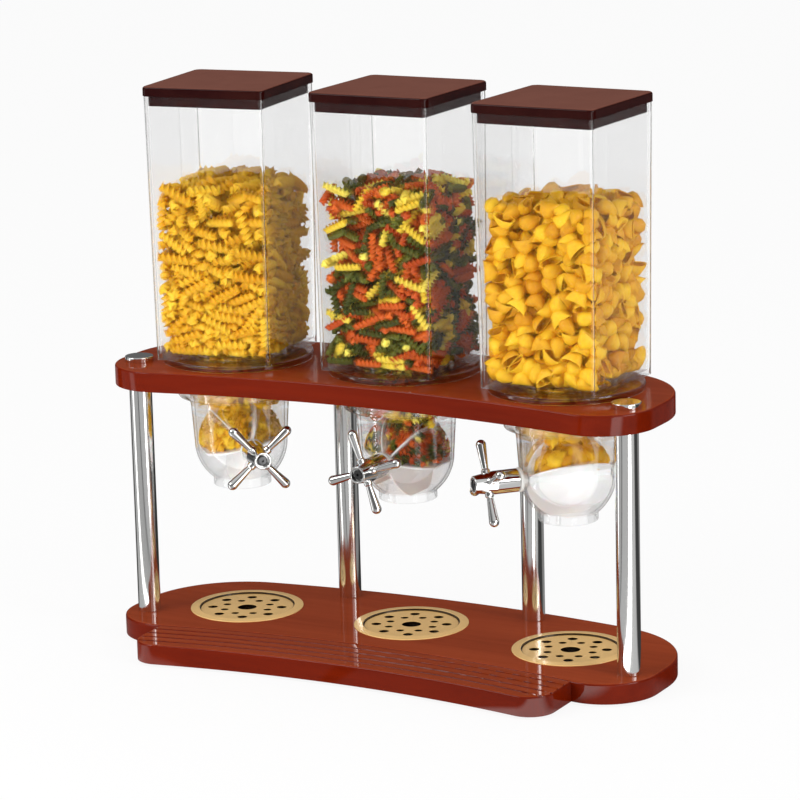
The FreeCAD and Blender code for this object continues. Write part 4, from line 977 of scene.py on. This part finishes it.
# Painted light: the lighter colour of the lids' tops.
LID_PAINTED_TOP_LIGHT = (0.205, 0.0700, 0.0470, 1)
LID_WORN = (0.085, 0.0200, 0.0120, 1)


def lid_mesh():
    """Plug inside, plug outside, underside, edge and top."""
    inner = PLUG_HALF - PLUG_WALL
    rings = [square_ring(inner, HOPPER_INNER_CORNER, 0),
             square_ring(inner, HOPPER_INNER_CORNER, -PLUG_DEPTH + BROKEN_EDGE),
             square_ring(inner + BROKEN_EDGE, HOPPER_INNER_CORNER, -PLUG_DEPTH),
             square_ring(PLUG_HALF - BROKEN_EDGE, PLUG_CORNER, -PLUG_DEPTH),
             square_ring(PLUG_HALF, PLUG_CORNER, -PLUG_DEPTH + BROKEN_EDGE),
             square_ring(PLUG_HALF, PLUG_CORNER, 0),
             square_ring(LID_HALF - BROKEN_EDGE, LID_CORNER, 0),
             square_ring(LID_HALF, LID_CORNER, BROKEN_EDGE)]
    rings += eased(LID_HALF, LID_CORNER, LID_THICK, LID_ROUND, LID_ROUND, range(0, 91, 15))
    ends = ((0, 0, 0), (0, 0, LID_THICK))
    return shaded(skin("lid", braced(rings, ends), ends), 35)


def satin_brown(name, seed):
    """Dark brown plastic with a clear gloss, its top painted lighter and redder as painted light.
    """
    material, tree = new_material(name, Coat_Weight=0.28, Coat_Roughness=0.05,
                                  Specular_IOR_Level=0.0)
    smudge, lines = marks(tree, 22.0, 300.0, seed)
    top = wire(tree, "ShaderNodeGroup", node_tree=FACING_UP).outputs["Mask"]
    # Painted light: the top is lighter than the sides.
    tone = blended(tree, top, LID_BROWN, LID_PAINTED_TOP_LIGHT)
    tone = blended(tree, ramp(tree, smudge, 0.0, 1.0, 0.0, 0.2), tone, LID_WORN)
    tone = blended(tree, ramp(tree, lines, 0.2, 1.0, 0.0, 0.1), tone, LID_WORN)
    worn = worked(tree, "MAXIMUM", smudge, lines)
    return finished(material, tone, ramp(tree, worn, 0.0, 1.0, 0.22, 0.40), lines, 0.03,
                    0.00002)


for name, seed in zip(BINS, (11.0, 12.0, 13.0)):
    show("lid_plate_" + name, placed(lid_mesh(), at_hopper(name, HOPPER_HEIGHT)),
         satin_brown("lid_brown_" + name, seed), "lid_" + name, "dark_plastic",
         "lid_" + name)


# --- Drip dishes and grids --------------------------------------------------------------------
# Dishes spun from brass-toned sheet and set into the base, each with a loose punched grid that
# lifts out by its middle hole. They are lacquered over a fine ring grain, and painted dark as
# painted shade inside, below the grid, and in the groove round the grid.

base_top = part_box("base_board")[1].z
DISH_RIM = 62.8 * MM
DISH_SHOULDER = 53.3 * MM
DISH_SHOULDER_BORE = 52.1 * MM
DISH_RIM_HEIGHT = 1.6 * MM
DISH_DEPTH = 11.2 * MM
DISH_RADIUS = 49.7 * MM
DISH_WALL = 1.2 * MM
DISH_LEDGE = 2.2 * MM
GRID_RADIUS = 51.8 * MM
GRID_THICK = 1.6 * MM
GRID_EDGE = 0.3 * MM
GRID_CENTRE_HOLE = 10.5 * MM
GRID_RINGS = ((4.4 * MM, 26.0 * MM, 0.0), (5.5 * MM, 38.7 * MM, 22.5))
GRID_HOLES = 8
BRASS = (1.0, 0.640, 0.240, 1)
BRASS_DULL = (0.84, 0.510, 0.180, 1)
# Painted shade: the dark colour inside the dish and in the groove round the grid.
BRASS_PAINTED_SHADE = (0.030, 0.016, 0.007, 1)
GROOVE = 52.2 * MM
GROOVE_HALF = 0.9 * MM


def brushed_brass(name, middle, seed):
    """Brass-toned sheet with rings brushed about a middle, dulled where it is handled, with
    painted shade inside the dish and in the groove round the grid.
    """
    material, tree = new_material(name, Metallic=0.15, Coat_Weight=0.3, Coat_Roughness=0.05)
    centred = object_coordinates(tree, place=(-middle.x, -middle.y, 0))
    flat = wire(tree, "ShaderNodeVectorMath", {0: centred, 1: (1, 1, 0)},
                operation="MULTIPLY")
    radius = wire(tree, "ShaderNodeVectorMath", {0: flat.outputs[0]},
                  operation="LENGTH").outputs["Value"]
    rings = wire(tree, "ShaderNodeTexNoise", {"W": radius, "Scale": 2600.0, "Detail": 3.0},
                 noise_dimensions="1D").outputs["Fac"]
    smudge, lines = marks(tree, 40.0, 500.0, seed)
    tone = blended(tree, ramp(tree, smudge, 0.0, 1.0, 0.0, 0.25), BRASS, BRASS_DULL)
    tone = blended(tree, ramp(tree, rings, 0.35, 0.7, 0.0, 0.2), tone, BRASS_DULL)
    # Painted shade in the groove round the grid and inside the dish below the grid's face.
    off = worked(tree, "ABSOLUTE", worked(tree, "SUBTRACT", radius, GROOVE))
    groove_shade = ramp(tree, off, GROOVE_HALF * 0.6, GROOVE_HALF, 1.0, 0.0)
    face = base_top - DISH_LEDGE + GRID_THICK
    low = ramp(tree, axis_of(tree, centred, "Z"), face - GRID_EDGE * 2, face - GRID_EDGE, 1.0, 0.0)
    within = ramp(tree, radius, DISH_RADIUS - DISH_WALL, DISH_RADIUS, 1.0, 0.0)
    painted_shade = worked(tree, "MAXIMUM", groove_shade, worked(tree, "MINIMUM", low, within))
    worn = worked(tree, "MAXIMUM", rings, lines)
    return finished(material, blended(tree, painted_shade, tone, BRASS_PAINTED_SHADE),
                    ramp(tree, worn, 0.3, 1.0, 0.18, 0.34), rings, 0.08, 0.00002)


dish_outline = [(0, -DISH_DEPTH)] + softened([
    (0, -DISH_DEPTH), (DISH_RADIUS, -DISH_DEPTH, 1.6 * MM),
    (DISH_RADIUS, -(DISH_LEDGE + DISH_WALL)), (DISH_SHOULDER, -(DISH_LEDGE + DISH_WALL)),
    (DISH_SHOULDER, 0), (DISH_RIM, 0), (DISH_RIM, DISH_RIM_HEIGHT / 2, 0.4 * MM),
    (DISH_SHOULDER, DISH_RIM_HEIGHT, 0.8 * MM),
    (DISH_SHOULDER_BORE, DISH_RIM_HEIGHT / 2, 0.2 * MM), (DISH_SHOULDER_BORE, -DISH_LEDGE),
    (DISH_RADIUS - DISH_WALL, -DISH_LEDGE, 0.4 * MM),
    (DISH_RADIUS - DISH_WALL, DISH_WALL - DISH_DEPTH, 1.0 * MM),
    (0, DISH_WALL - DISH_DEPTH)])[1:]
grid_outline = softened([
    (GRID_CENTRE_HOLE, 0, 0.3 * MM), (GRID_RADIUS, 0, 0.4 * MM),
    (GRID_RADIUS, GRID_THICK, 0.5 * MM), (GRID_CENTRE_HOLE, GRID_THICK, 0.5 * MM)], 3)


def join(name, meshes):
    """Several meshes in one."""
    work = bmesh.new()
    for mesh in meshes:
        work.from_mesh(mesh)
    return closed(work, bpy.data.meshes.new(name))


def grid_mesh():
    """The punched plate: its rings of holes are cut, then all edges are eased."""
    plate = lathe("grid", grid_outline, 96)
    punches = []
    for radius, circle, first in GRID_RINGS:
        for step in range(GRID_HOLES):
            turn = math.radians(first + step * 360 / GRID_HOLES)
            punch = rod(radius, -GRID_THICK, GRID_THICK * 2, 32)
            punches.append(placed(punch, Matrix.Translation(
                (circle * math.cos(turn), circle * math.sin(turn), 0))))
    cut = carved(plate, cut=[join("punches", punches)])
    work = opened(cut)
    sharp = [e for e in work.edges if len(e.link_faces) == 2
             and e.calc_face_angle() > math.radians(70)]
    bmesh.ops.bevel(work, geom=sharp, offset=0.25 * MM, segments=2, affect="EDGES",
                    profile=0.5, clamp_overlap=True)
    return shaded(closed(work, cut), 20)


for name, seed in zip(BINS, (21.0, 22.0, 23.0)):
    brass = brushed_brass("brass_" + name, node_middle("catch_dish_" + name), seed)
    show("dish_" + name, placed(lathe("dish", dish_outline, 128), at_bin(name, base_top)),
         brass, "dish_" + name, "brass", "catch_dish_" + name)
    show("grid_" + name, placed(grid_mesh(), at_bin(name, base_top - DISH_LEDGE)), brass,
         "grid_" + name, "brass", "drip_grid_" + name)


# --- Dry pasta --------------------------------------------------------------------------------
# What the bins hold: long yellow spirals, short spirals in three colours and smooth yellow
# shells. Each heap is settled by pushing apart overlapping pieces inside the clear walls.

SPIRAL_STEPS = 17
SPIRAL_BLADES = 3
SPIRAL_CORE = 0.42
SHELL_THICK = 1.2 * MM
SHELL_MOUTH = math.radians(30)
PASTA = {
    "left": {"shape": ("spiral", 37 * MM, 7.0 * MM, 1.9), "ball": 6.0 * MM, "heap": 540,
             "fill": 194 * MM, "dome": 12 * MM, "throat": 210, "pocket": 50},
    "middle": {"shape": ("spiral", 31 * MM, 5.3 * MM, 2.0), "ball": 4.9 * MM, "heap": 900,
               "fill": 200 * MM, "dome": 8 * MM, "throat": 330, "pocket": 82},
    "right": {"shape": ("shell", 27 * MM, 8.7 * MM), "ball": 6.3 * MM, "heap": 610,
              "fill": 197 * MM, "dome": 8 * MM, "throat": 180, "pocket": 44},
}
POURED_SIZES = (0.92, 1.05)
SIZES_SEED = 4
HEAP_SEED = 40
HEAP_SPREAD = 60 * MM
THROAT_SPREAD = 45 * MM
POCKET_MIDDLE = 28 * MM
POCKET_SPREAD = (8 * MM, 30 * MM, 8 * MM)
LOWEST_POCKET = -0.35
WALL_GAP = 0.4 * MM
PRESSED = 6.0 * MM
CORE = 38.0 * MM
CRUST = 32.0 * MM
SQUEEZED = 0.8


def spiral(length, radius, turns):
    """A corkscrew of three thin blades along local X."""
    section = []
    for number in range(SPIRAL_BLADES * 2):
        angle = math.pi * number / SPIRAL_BLADES
        reach = radius * (SPIRAL_CORE if number % 2 else 1.0)
        section.append((reach * math.cos(angle), reach * math.sin(angle)))
    rings = []
    for step in range(SPIRAL_STEPS + 1):
        share = step / SPIRAL_STEPS
        turn = np.array(Matrix.Rotation(math.tau * turns * share, 2))
        swell = 0.88 + 0.12 * math.sin(math.pi * share)
        points = np.array(section) @ turn.T * swell
        rings.append(np.column_stack([np.full(len(points), (share - 0.5) * length), points]))
    return shaded(skin("spiral", rings, ((-length / 2, 0, 0), (length / 2, 0, 0))), 125)


def shell(length, radius):
    """A smooth cupped shell: a round back, an almond-shaped mouth and two pointed tips."""
    along, around = 6, 7
    surfaces = []
    for inset in (0.0, SHELL_THICK):
        rows = []
        for i in range(along + 1):
            u = math.sin((2 * i / along - 1) * math.pi / 2)
            swell = math.sqrt(max(1 - u * u, 0.0))
            hollow = (radius - inset) * (0.02 + 0.98 * swell)
            lips = radius * (0.02 + 0.98 * swell) * math.cos(SHELL_MOUTH)
            row = []
            for j in range(around + 1):
                v = 2 * j / around - 1
                a = math.pi + (math.pi - SHELL_MOUTH) * v
                x = u * (length / 2 - inset * 0.8) * (0.78 + 0.22 * v * v)
                row.append((x, hollow * math.sin(a),
                            hollow * math.cos(a) - lips + radius * (0.85 + 0.15 * u * u)))
            rows.append(row)
        surfaces.append(rows)
    work = bmesh.new()
    outer, inner = [[[work.verts.new(p) for p in row] for row in rows] for rows in surfaces]
    for i in range(along):
        for j in range(around):
            for side in (outer, inner):
                work.faces.new((side[i][j], side[i + 1][j], side[i + 1][j + 1], side[i][j + 1]))
        for j in (0, around):
            work.faces.new((outer[i][j], inner[i][j], inner[i + 1][j], outer[i + 1][j]))
    for i in (0, along):
        for j in range(around):
            work.faces.new((outer[i][j], outer[i][j + 1], inner[i][j + 1], inner[i][j]))
    bmesh.ops.recalc_face_normals(work, faces=work.faces)
    return shaded(closed(work, bpy.data.meshes.new("shell")), 60)


SHAPES = {"spiral": spiral, "shell": shell}


def settle(middles, length, ball, confine, random, rounds):
    """Places and directions of pieces, each a row of balls, pushed apart within walls."""
    balls = 3
    count = len(middles)
    offsets = np.linspace(-1, 1, balls) * (length / 2 - ball)
    aims = random.normal(size=(count, 3)) * (1, 1, 0.55)
    aims /= np.linalg.norm(aims, axis=1, keepdims=True)
    owner = np.repeat(np.arange(count), balls)
    spread = (offsets ** 2).sum()
    for _ in range(rounds):
        places = (middles[:, None] + offsets[:, None] * aims[:, None]).reshape(-1, 3)
        square = (places ** 2).sum(axis=1)
        apart = square[:, None] + square[None] - 2 * places @ places.T
        close = (apart < (2 * ball) ** 2) & (owner[:, None] != owner[None])
        first, second = np.nonzero(close)
        gap = places[first] - places[second]
        distance = np.sqrt(np.maximum((gap ** 2).sum(axis=1), 1e-12))
        push = gap * ((2 * ball - distance) / distance)[:, None] * 0.38
        shift = np.zeros_like(places)
        np.add.at(shift, first, push)
        touching = np.bincount(first, minlength=len(places))
        shift /= np.maximum(touching, 1)[:, None] ** 0.5
        shift += confine(places + shift, ball) - (places + shift)
        shift = shift.reshape(count, balls, 3)
        middles = middles + shift.mean(axis=1)
        aims = aims + (shift * offsets[:, None]).sum(axis=1) / spread
        aims /= np.linalg.norm(aims, axis=1, keepdims=True)
    return middles, aims


def in_jar(fill, dome):
    """Keeps balls inside a hopper, under a slightly domed surface."""
    slope = (HOPPER_TOP - HOPPER_BOTTOM) / HOPPER_HEIGHT

    def confine(places, ball):
        kept = places.copy()
        half = HOPPER_BOTTOM - HOPPER_WALL + slope * kept[:, 2:3] - ball
        kept[:, :2] = np.clip(kept[:, :2], -half, half)
        out = np.hypot(kept[:, 0], kept[:, 1]) / HOPPER_BOTTOM
        ripple = np.sin(kept[:, 0] * 95 + 1) * np.sin(kept[:, 1] * 120 + 2) * 4 * MM
        top = fill + dome * np.maximum(1 - out ** 2, 0) + ripple - ball
        kept[:, 2] = np.clip(kept[:, 2], HOPPER_FLOOR + ball, np.maximum(top, ball * 2))
        return kept
    return confine


def round_core(walls, fill):
    """Keeps balls out of the unseen middle of a heap too, so that its faces are dense."""
    def confine(places, ball):
        kept = walls(places, ball)
        out = np.abs(kept[:, :2]).max(axis=1)
        deep = (out < CORE) & (kept[:, 2] < fill - CRUST)
        kept[:, :2] *= np.where(deep, CORE / np.maximum(out, 1e-9), 1)[:, None]
        return kept
    return confine


def in_throat(axis_drop):
    """Keeps balls in the throat and the top of the bowl, above the wheel's sweep."""
    def confine(places, ball):
        kept = places.copy()
        out = np.maximum(np.hypot(kept[:, 0], kept[:, 1]), 1e-9)
        room = BOWL - BOWL_WALL - ball
        kept[:, :2] *= np.minimum(room / out, 1)[:, None]
        reach = np.maximum(np.hypot(kept[:, 0], kept[:, 2]), 1e-9)
        clear = VANE_TIP + ball
        lift = np.maximum(clear / reach, 1)
        kept[:, 2] = np.where(lift > 1, np.sqrt(np.maximum(clear ** 2 - kept[:, 0] ** 2, 0)),
                              kept[:, 2])
        kept[:, 2] = np.minimum(kept[:, 2], axis_drop - ball)
        return kept
    return confine


def in_pocket(turn):
    """Keeps balls between two vanes, off the hub and inside the bowl's round wall."""
    sides = [np.array((math.cos(turn + side), 0, math.sin(turn + side)))
             for side in (0, math.radians(60))]
    normals = [np.array((-sides[0][2], 0, sides[0][0])),
               np.array((sides[1][2], 0, -sides[1][0]))]

    def confine(places, ball):
        kept = places.copy()
        for _ in range(3):
            for normal in normals:
                short = VANE_THICK / 2 + ball - kept @ normal
                kept += np.maximum(short, 0)[:, None] * normal
            kept[:, 1] = np.clip(kept[:, 1], ball - WHEEL_HALF, WHEEL_HALF - ball)
            out = np.linalg.norm(kept, axis=1)
            kept *= np.minimum((VANE_RADIUS - ball) / np.maximum(out, 1e-9), 1)[:, None]
        return kept
    return confine


def tree_poured():
    """Lays a piece on each point, turned as the point says and a little larger or smaller."""
    tree, given = copying_tree("poured", ("Smallest", "Float"), ("Largest", "Float"),
                               ("Seed", "Int"))
    turn = wire(tree, "GeometryNodeInputNamedAttribute", {"Name": "turn"},
                data_type="FLOAT_VECTOR")
    rotation = wire(tree, "FunctionNodeEulerToRotation", {0: turn.outputs[0]})
    size = wire(tree, "FunctionNodeRandomValue", data_type="FLOAT")
    for label, source in (("Min", "Smallest"), ("Max", "Largest"), ("Seed", "Seed")):
        socket = [s for s in size.inputs if s.name == label and s.enabled][0]
        tree.links.new(given.outputs[source], socket)
    amount = [s for s in size.outputs if s.enabled][0]
    return copied(tree, given, given.outputs["Geometry"], Rotation=rotation.outputs[0],
                  Scale=amount)


POURED = tree_poured()


def against_walls(reached, confine):
    """How far each piece moves to lie clear of the walls, and against one that is close."""
    short = confine(reached.reshape(-1, 3), WALL_GAP).reshape(reached.shape) - reached
    moved = short.max(axis=1) + short.min(axis=1)
    for side in ((1, 0, 0), (-1, 0, 0), (0, 1, 0), (0, -1, 0)):
        tried = reached + moved[:, None] + np.array(side) * PRESSED
        short = confine(tried.reshape(-1, 3), WALL_GAP).reshape(reached.shape) - tried
        back = (short @ side).min(axis=1)
        moved = moved + np.where(back < 0, np.maximum(PRESSED + back, 0), 0)[:, None] * side
    return moved


def poured(name, piece, middles, aims, confine, stand, material, random):
    """A heap's mesh: every piece laid at its place, in its direction, clear of the walls and
    with its own tint."""
    turns = [Vector(aim).to_track_quat("X", "Z").to_matrix() @ Matrix.Rotation(roll, 3, "X")
             for aim, roll in zip(aims, random.uniform(0, math.tau, len(middles)))]
    corners = np.array([vertex.co for vertex in piece.vertices]) * POURED_SIZES[1]
    reached = np.einsum("nij,vj->nvi", np.array(turns), corners) + middles[:, None]
    mesh = points_mesh(name, middles + against_walls(reached, confine))
    mesh.attributes.new("turn", "FLOAT_VECTOR", "POINT").data.foreach_set(
        "vector", np.array([turn.to_euler() for turn in turns], np.float32).ravel())
    mesh.attributes.new("tint", "FLOAT", "POINT").data.foreach_set(
        "value", random.uniform(0, 1, len(middles)).astype(np.float32))
    made = grown(POURED, mesh, piece, material, Smallest=POURED_SIZES[0],
                 Largest=POURED_SIZES[1], Seed=SIZES_SEED)
    made.name = name
    return placed(made, stand)


WHEAT = ((0.80, 0.390, 0.006, 1), (0.96, 0.610, 0.034, 1))
TOMATO = ((0.52, 0.066, 0.006, 1), (0.74, 0.140, 0.012, 1))
SPINACH = ((0.040, 0.050, 0.004, 1), (0.130, 0.140, 0.010, 1))
PALE_WHEAT = ((0.88, 0.60, 0.030, 1), (1.0, 0.84, 0.130, 1))
AMBER_WHEAT = ((0.66, 0.270, 0.002, 1), (0.94, 0.560, 0.018, 1))


def pasta_dough(name, tones):
    """Dried dough: a tone for each piece, mottled, with the satin of a drawn surface."""
    material, tree = new_material(name, Subsurface_Weight=0.12, Subsurface_Scale=0.002,
                                  Specular_IOR_Level=0.3)
    tint = wire(tree, "ShaderNodeAttribute", attribute_name="tint").outputs["Fac"]
    mottle = noise(tree, object_coordinates(tree), 210.0, 4.0, Roughness=0.6)
    stepped = worked(tree, "MULTIPLY", tint, float(len(tones)))
    own = worked(tree, "FRACT", stepped)
    depth = ramp(tree, worked(tree, "ADD", own, mottle), 0.45, 1.45)
    tone = blended(tree, depth, *tones[0])
    for number, further in enumerate(tones[1:], 1):
        above = worked(tree, "GREATER_THAN", stepped, float(number))
        tone = blended(tree, above, tone, blended(tree, depth, *further))
    return finished(material, tone, ramp(tree, mottle, 0.3, 0.7, 0.36, 0.55), mottle, 0.3,
                    0.0003)


def pressed_in(mesh, middle, reach):
    """Draws whatever sticks out past the wheel's reach back to it, as the bowl's wall does."""
    for vertex in mesh.vertices:
        out = vertex.co - middle
        if out.length > reach:
            vertex.co = middle + out.normalized() * reach


DOUGH = {"left": (WHEAT,), "middle": (TOMATO, SPINACH, TOMATO, SPINACH, PALE_WHEAT),
         "right": (AMBER_WHEAT,)}
ROUNDS = 60
for number, name in enumerate(BINS):
    food = PASTA[name]
    random = np.random.default_rng(HEAP_SEED + number)
    kind, length, radius, *turns = food["shape"]
    piece = SHAPES[kind](length, radius, *turns)
    dough = pasta_dough("dough_" + name, DOUGH[name])
    ball = food["ball"]

    walls = in_jar(food["fill"], food["dome"])
    start = random.uniform((-1, -1, 0), (1, 1, 1), (food["heap"], 3))
    settled = settle(start * (HEAP_SPREAD, HEAP_SPREAD, food["fill"]), length, ball,
                     round_core(walls, food["fill"]), random, ROUNDS)
    heap = poured("pasta_heap_" + name, piece, *settled, walls, at_hopper(name), dough, random)
    show("pasta_heap_" + name, heap, None, "hopper_" + name, None)

    axis = on_axis(name) @ FRONTWARDS.inverted()
    drop = hopper_seat + HOPPER_FLOOR - axis.translation.z
    walls = in_throat(drop)
    start = random.uniform((-1, -1, 0.5), (1, 1, 1), (food["throat"], 3))
    settled = settle(start * (THROAT_SPREAD, THROAT_SPREAD, drop), length, ball * SQUEEZED,
                     walls, random, ROUNDS)
    neck = poured("pasta_throat_" + name, piece, *settled, walls, axis, dough, random)
    show("pasta_throat_" + name, neck, None, "root", None)

    portions = []
    first = -math.radians(WHEEL_ANGLE[name])
    for pocket in range(3):
        turn = first + math.radians(60 * pocket)
        if math.sin(turn) < LOWEST_POCKET:
            turn += math.pi
        walls = in_pocket(turn)
        middle = turn + math.radians(30)
        start = np.array((math.cos(middle), 0, math.sin(middle))) * POCKET_MIDDLE
        start = start + random.uniform(-1, 1, (food["pocket"], 3)) * POCKET_SPREAD
        settled = settle(start, length, ball * SQUEEZED, walls, random, ROUNDS)
        portions.append(poured("portion", piece, *settled, walls, axis, dough, random))
    portion = join("pasta_portion_" + name, portions)
    pressed_in(portion, axis.translation, VANE_RADIUS)
    show("pasta_portion_" + name, portion, dough, "wheel_" + name, None)


# --- Studio -----------------------------------------------------------------------------------
# A pale floor under soft light from all round and four softboxes. Mirrors see two of these, and
# a ring of grey walls and windows. The camera stands to the right, a little high.

CAMERA_AZIMUTH = math.radians(28.801)
CAMERA_ELEVATION = math.radians(13.059)
CAMERA_ROLL = math.radians(-1.482)
CAMERA_DISTANCE = 3.9025
CAMERA_AIM = Vector((-0.01885, 0.06393, 0.26928))
CAMERA_LENS = 161.89

away = Vector((math.sin(CAMERA_AZIMUTH) * math.cos(CAMERA_ELEVATION),
               -math.cos(CAMERA_AZIMUTH) * math.cos(CAMERA_ELEVATION),
               math.sin(CAMERA_ELEVATION)))
level = Vector((math.cos(CAMERA_AZIMUTH), math.sin(CAMERA_AZIMUTH), 0))
upright = away.cross(level)
across = level * math.cos(CAMERA_ROLL) + upright * math.sin(CAMERA_ROLL)
upward = upright * math.cos(CAMERA_ROLL) - level * math.sin(CAMERA_ROLL)
lens = bpy.data.cameras.new("camera")
lens.lens = CAMERA_LENS
lens.sensor_width = 36
lens.clip_end = 50
camera = put_in("camera", lens)
camera.matrix_world = Matrix.Translation(CAMERA_AIM + away * CAMERA_DISTANCE) @ Matrix(
    (across, upward, away)).transposed().to_4x4()
bpy.context.scene.camera = camera
bpy.context.scene.view_settings.view_transform = "Standard"

FLOOR_COLOUR = (0.90, 0.90, 0.90, 1)
FLOOR_HALF = 12.0
FLOOR_WHITE = 0.90
# What stands round the studio, as mirrors see it: a heading in degrees from the front towards
# the right, and how bright it is there. Grey walls with two windows and dark gaps between them.
STUDIO_RING = (
    (-180, 0.03), (-128, 0.03), (-120, 0.60), (-108, 0.60), (-103, 0.04), (-90, 0.04),
    (-84, 0.48), (-64, 0.48), (-61, 2.60), (-54, 2.60), (-51, 0.42), (-14, 0.42), (-11, 0.10),
    (-6, 0.10), (-3, 0.50), (48, 0.50), (51, 5.00), (64, 5.00), (70, 0.62), (92, 0.55),
    (98, 0.05), (128, 0.05), (136, 0.26), (166, 0.26), (172, 0.04), (180, 0.03))
WINDOW = max(brightness for heading, brightness in STUDIO_RING)


def studio_ring():
    """A node group: how bright the studio looks to a mirror, by the heading of a place."""
    group, given, out = shader_group("studio_ring", (("Place", "Vector"),), ("Brightness",))
    place = given.outputs["Place"]
    front = worked(group, "MULTIPLY", axis_of(group, place, "Y"), -1.0)
    heading = worked(group, "ARCTAN2", axis_of(group, place, "X"), front)
    ring = wire(group, "ShaderNodeValToRGB", {
        "Fac": worked(group, "MULTIPLY_ADD", heading, 1 / math.tau, 0.5)})
    stops = ring.color_ramp.elements
    for number, (heading, brightness) in enumerate(STUDIO_RING):
        place = heading / 360 + 0.5
        stop = stops[number] if number < 2 else stops.new(place)
        stop.position = place
        stop.color = (brightness / WINDOW,) * 3 + (1,)
    group.links.new(worked(group, "MULTIPLY", ring.outputs["Color"], WINDOW),
                    out.inputs["Brightness"])
    return group


RING = studio_ring()


def by_kind_of_ray(tree, lighting, mirrored, seen):
    """One shader for light, another for what mirrors see, a third for the eye and for what is
    seen through clear plastic."""
    path = wire(tree, "ShaderNodeLightPath").outputs
    direct = worked(tree, "MAXIMUM", path["Is Camera Ray"], path["Is Transmission Ray"])
    indirect = wire(tree, "ShaderNodeMixShader", {
        0: path["Is Glossy Ray"], 1: lighting.outputs[0], 2: mirrored.outputs[0]})
    return wire(tree, "ShaderNodeMixShader", {
        0: direct, 1: indirect.outputs[0], 2: seen.outputs[0]}).outputs[0]


def pale_floor():
    """A pale floor, nearly white to the eye, that keeps its shadow."""
    material = bpy.data.materials.new("pale_floor")
    material.use_nodes = True
    tree = material.node_tree
    tree.nodes.clear()
    ring = wire(tree, "ShaderNodeGroup", node_tree=RING)
    tree.links.new(wire(tree, "ShaderNodeTexCoord").outputs["Object"], ring.inputs["Place"])
    paint = wire(tree, "ShaderNodeBsdfDiffuse", {"Color": FLOOR_COLOUR})
    white = wire(tree, "ShaderNodeEmission", {"Color": (1, 1, 1, 1), "Strength": 1.0})
    pale = wire(tree, "ShaderNodeMixShader", {0: FLOOR_WHITE, 1: paint.outputs[0],
                                              2: white.outputs[0]})
    mirrored = wire(tree, "ShaderNodeEmission", {"Strength": ring.outputs["Brightness"]})
    out = wire(tree, "ShaderNodeOutputMaterial")
    tree.links.new(by_kind_of_ray(tree, paint, mirrored, pale), out.inputs["Surface"])
    return material


floor_mesh = bpy.data.meshes.new("floor")
floor_mesh.from_pydata([(-FLOOR_HALF, -FLOOR_HALF, 0), (FLOOR_HALF, -FLOOR_HALF, 0),
                        (FLOOR_HALF, FLOOR_HALF, 0), (-FLOOR_HALF, FLOOR_HALF, 0)], [],
                       [(0, 1, 2, 3)])
floor_mesh.materials.append(pale_floor())
put_in("floor", floor_mesh)

WORLD_LIGHT = 0.66
WALL_SHARE = 0.30
BACK_GLOW = 0.12
CEILING = 0.62


def studio_world():
    """Even light from all round. Mirrors see dim walls low down and a white ceiling above."""
    world = bpy.data.worlds.new("studio")
    world.use_nodes = True
    tree = world.node_tree
    tree.nodes.clear()
    place = wire(tree, "ShaderNodeTexCoord").outputs["Generated"]
    ring = wire(tree, "ShaderNodeGroup", node_tree=RING)
    tree.links.new(place, ring.inputs["Place"])
    glow = ramp(tree, axis_of(tree, place, "Y"), 0.3, 0.7, 0.0, BACK_GLOW)
    walls = worked(tree, "MULTIPLY_ADD", ring.outputs["Brightness"], WALL_SHARE, glow)
    up = ramp(tree, axis_of(tree, place, "Z"), 0.42, 0.66)
    both = worked(tree, "MULTIPLY_ADD", walls, worked(tree, "SUBTRACT", 1.0, up),
                  worked(tree, "MULTIPLY", CEILING, up))
    light, white, mirrored = (
        wire(tree, "ShaderNodeBackground", {"Color": (1, 1, 1, 1), "Strength": strength})
        for strength in (WORLD_LIGHT, 1.0, both))
    out = wire(tree, "ShaderNodeOutputWorld")
    tree.links.new(by_kind_of_ray(tree, light, mirrored, white), out.inputs["Surface"])
    return world


bpy.context.scene.world = studio_world()


LAMP_AIM = Vector((0, 0, 0.3))


def softbox(name, place, size, power, mirrored=True):
    """A square lamp aimed at the middle of the dispenser; mirrors may be kept from it."""
    light = bpy.data.lights.new(name, "AREA")
    light.size = size
    light.energy = power
    lamp = put_in(name, light)
    lamp.location = place
    lamp.rotation_euler = (LAMP_AIM - Vector(place)).to_track_quat("-Z", "Y").to_euler()
    lamp.visible_glossy = mirrored


softbox("softbox_left", (-1.9, -2.2, 2.3), 1.6, 33.0)
softbox("softbox_right", (2.8, -0.4, 1.2), 1.2, 34.0)
softbox("softbox_front", (0.9, -2.6, 0.7), 1.6, 4.0, mirrored=False)
softbox("softbox_low", (-0.3, -1.3, 0.08), 0.8, 12.0, mirrored=False)
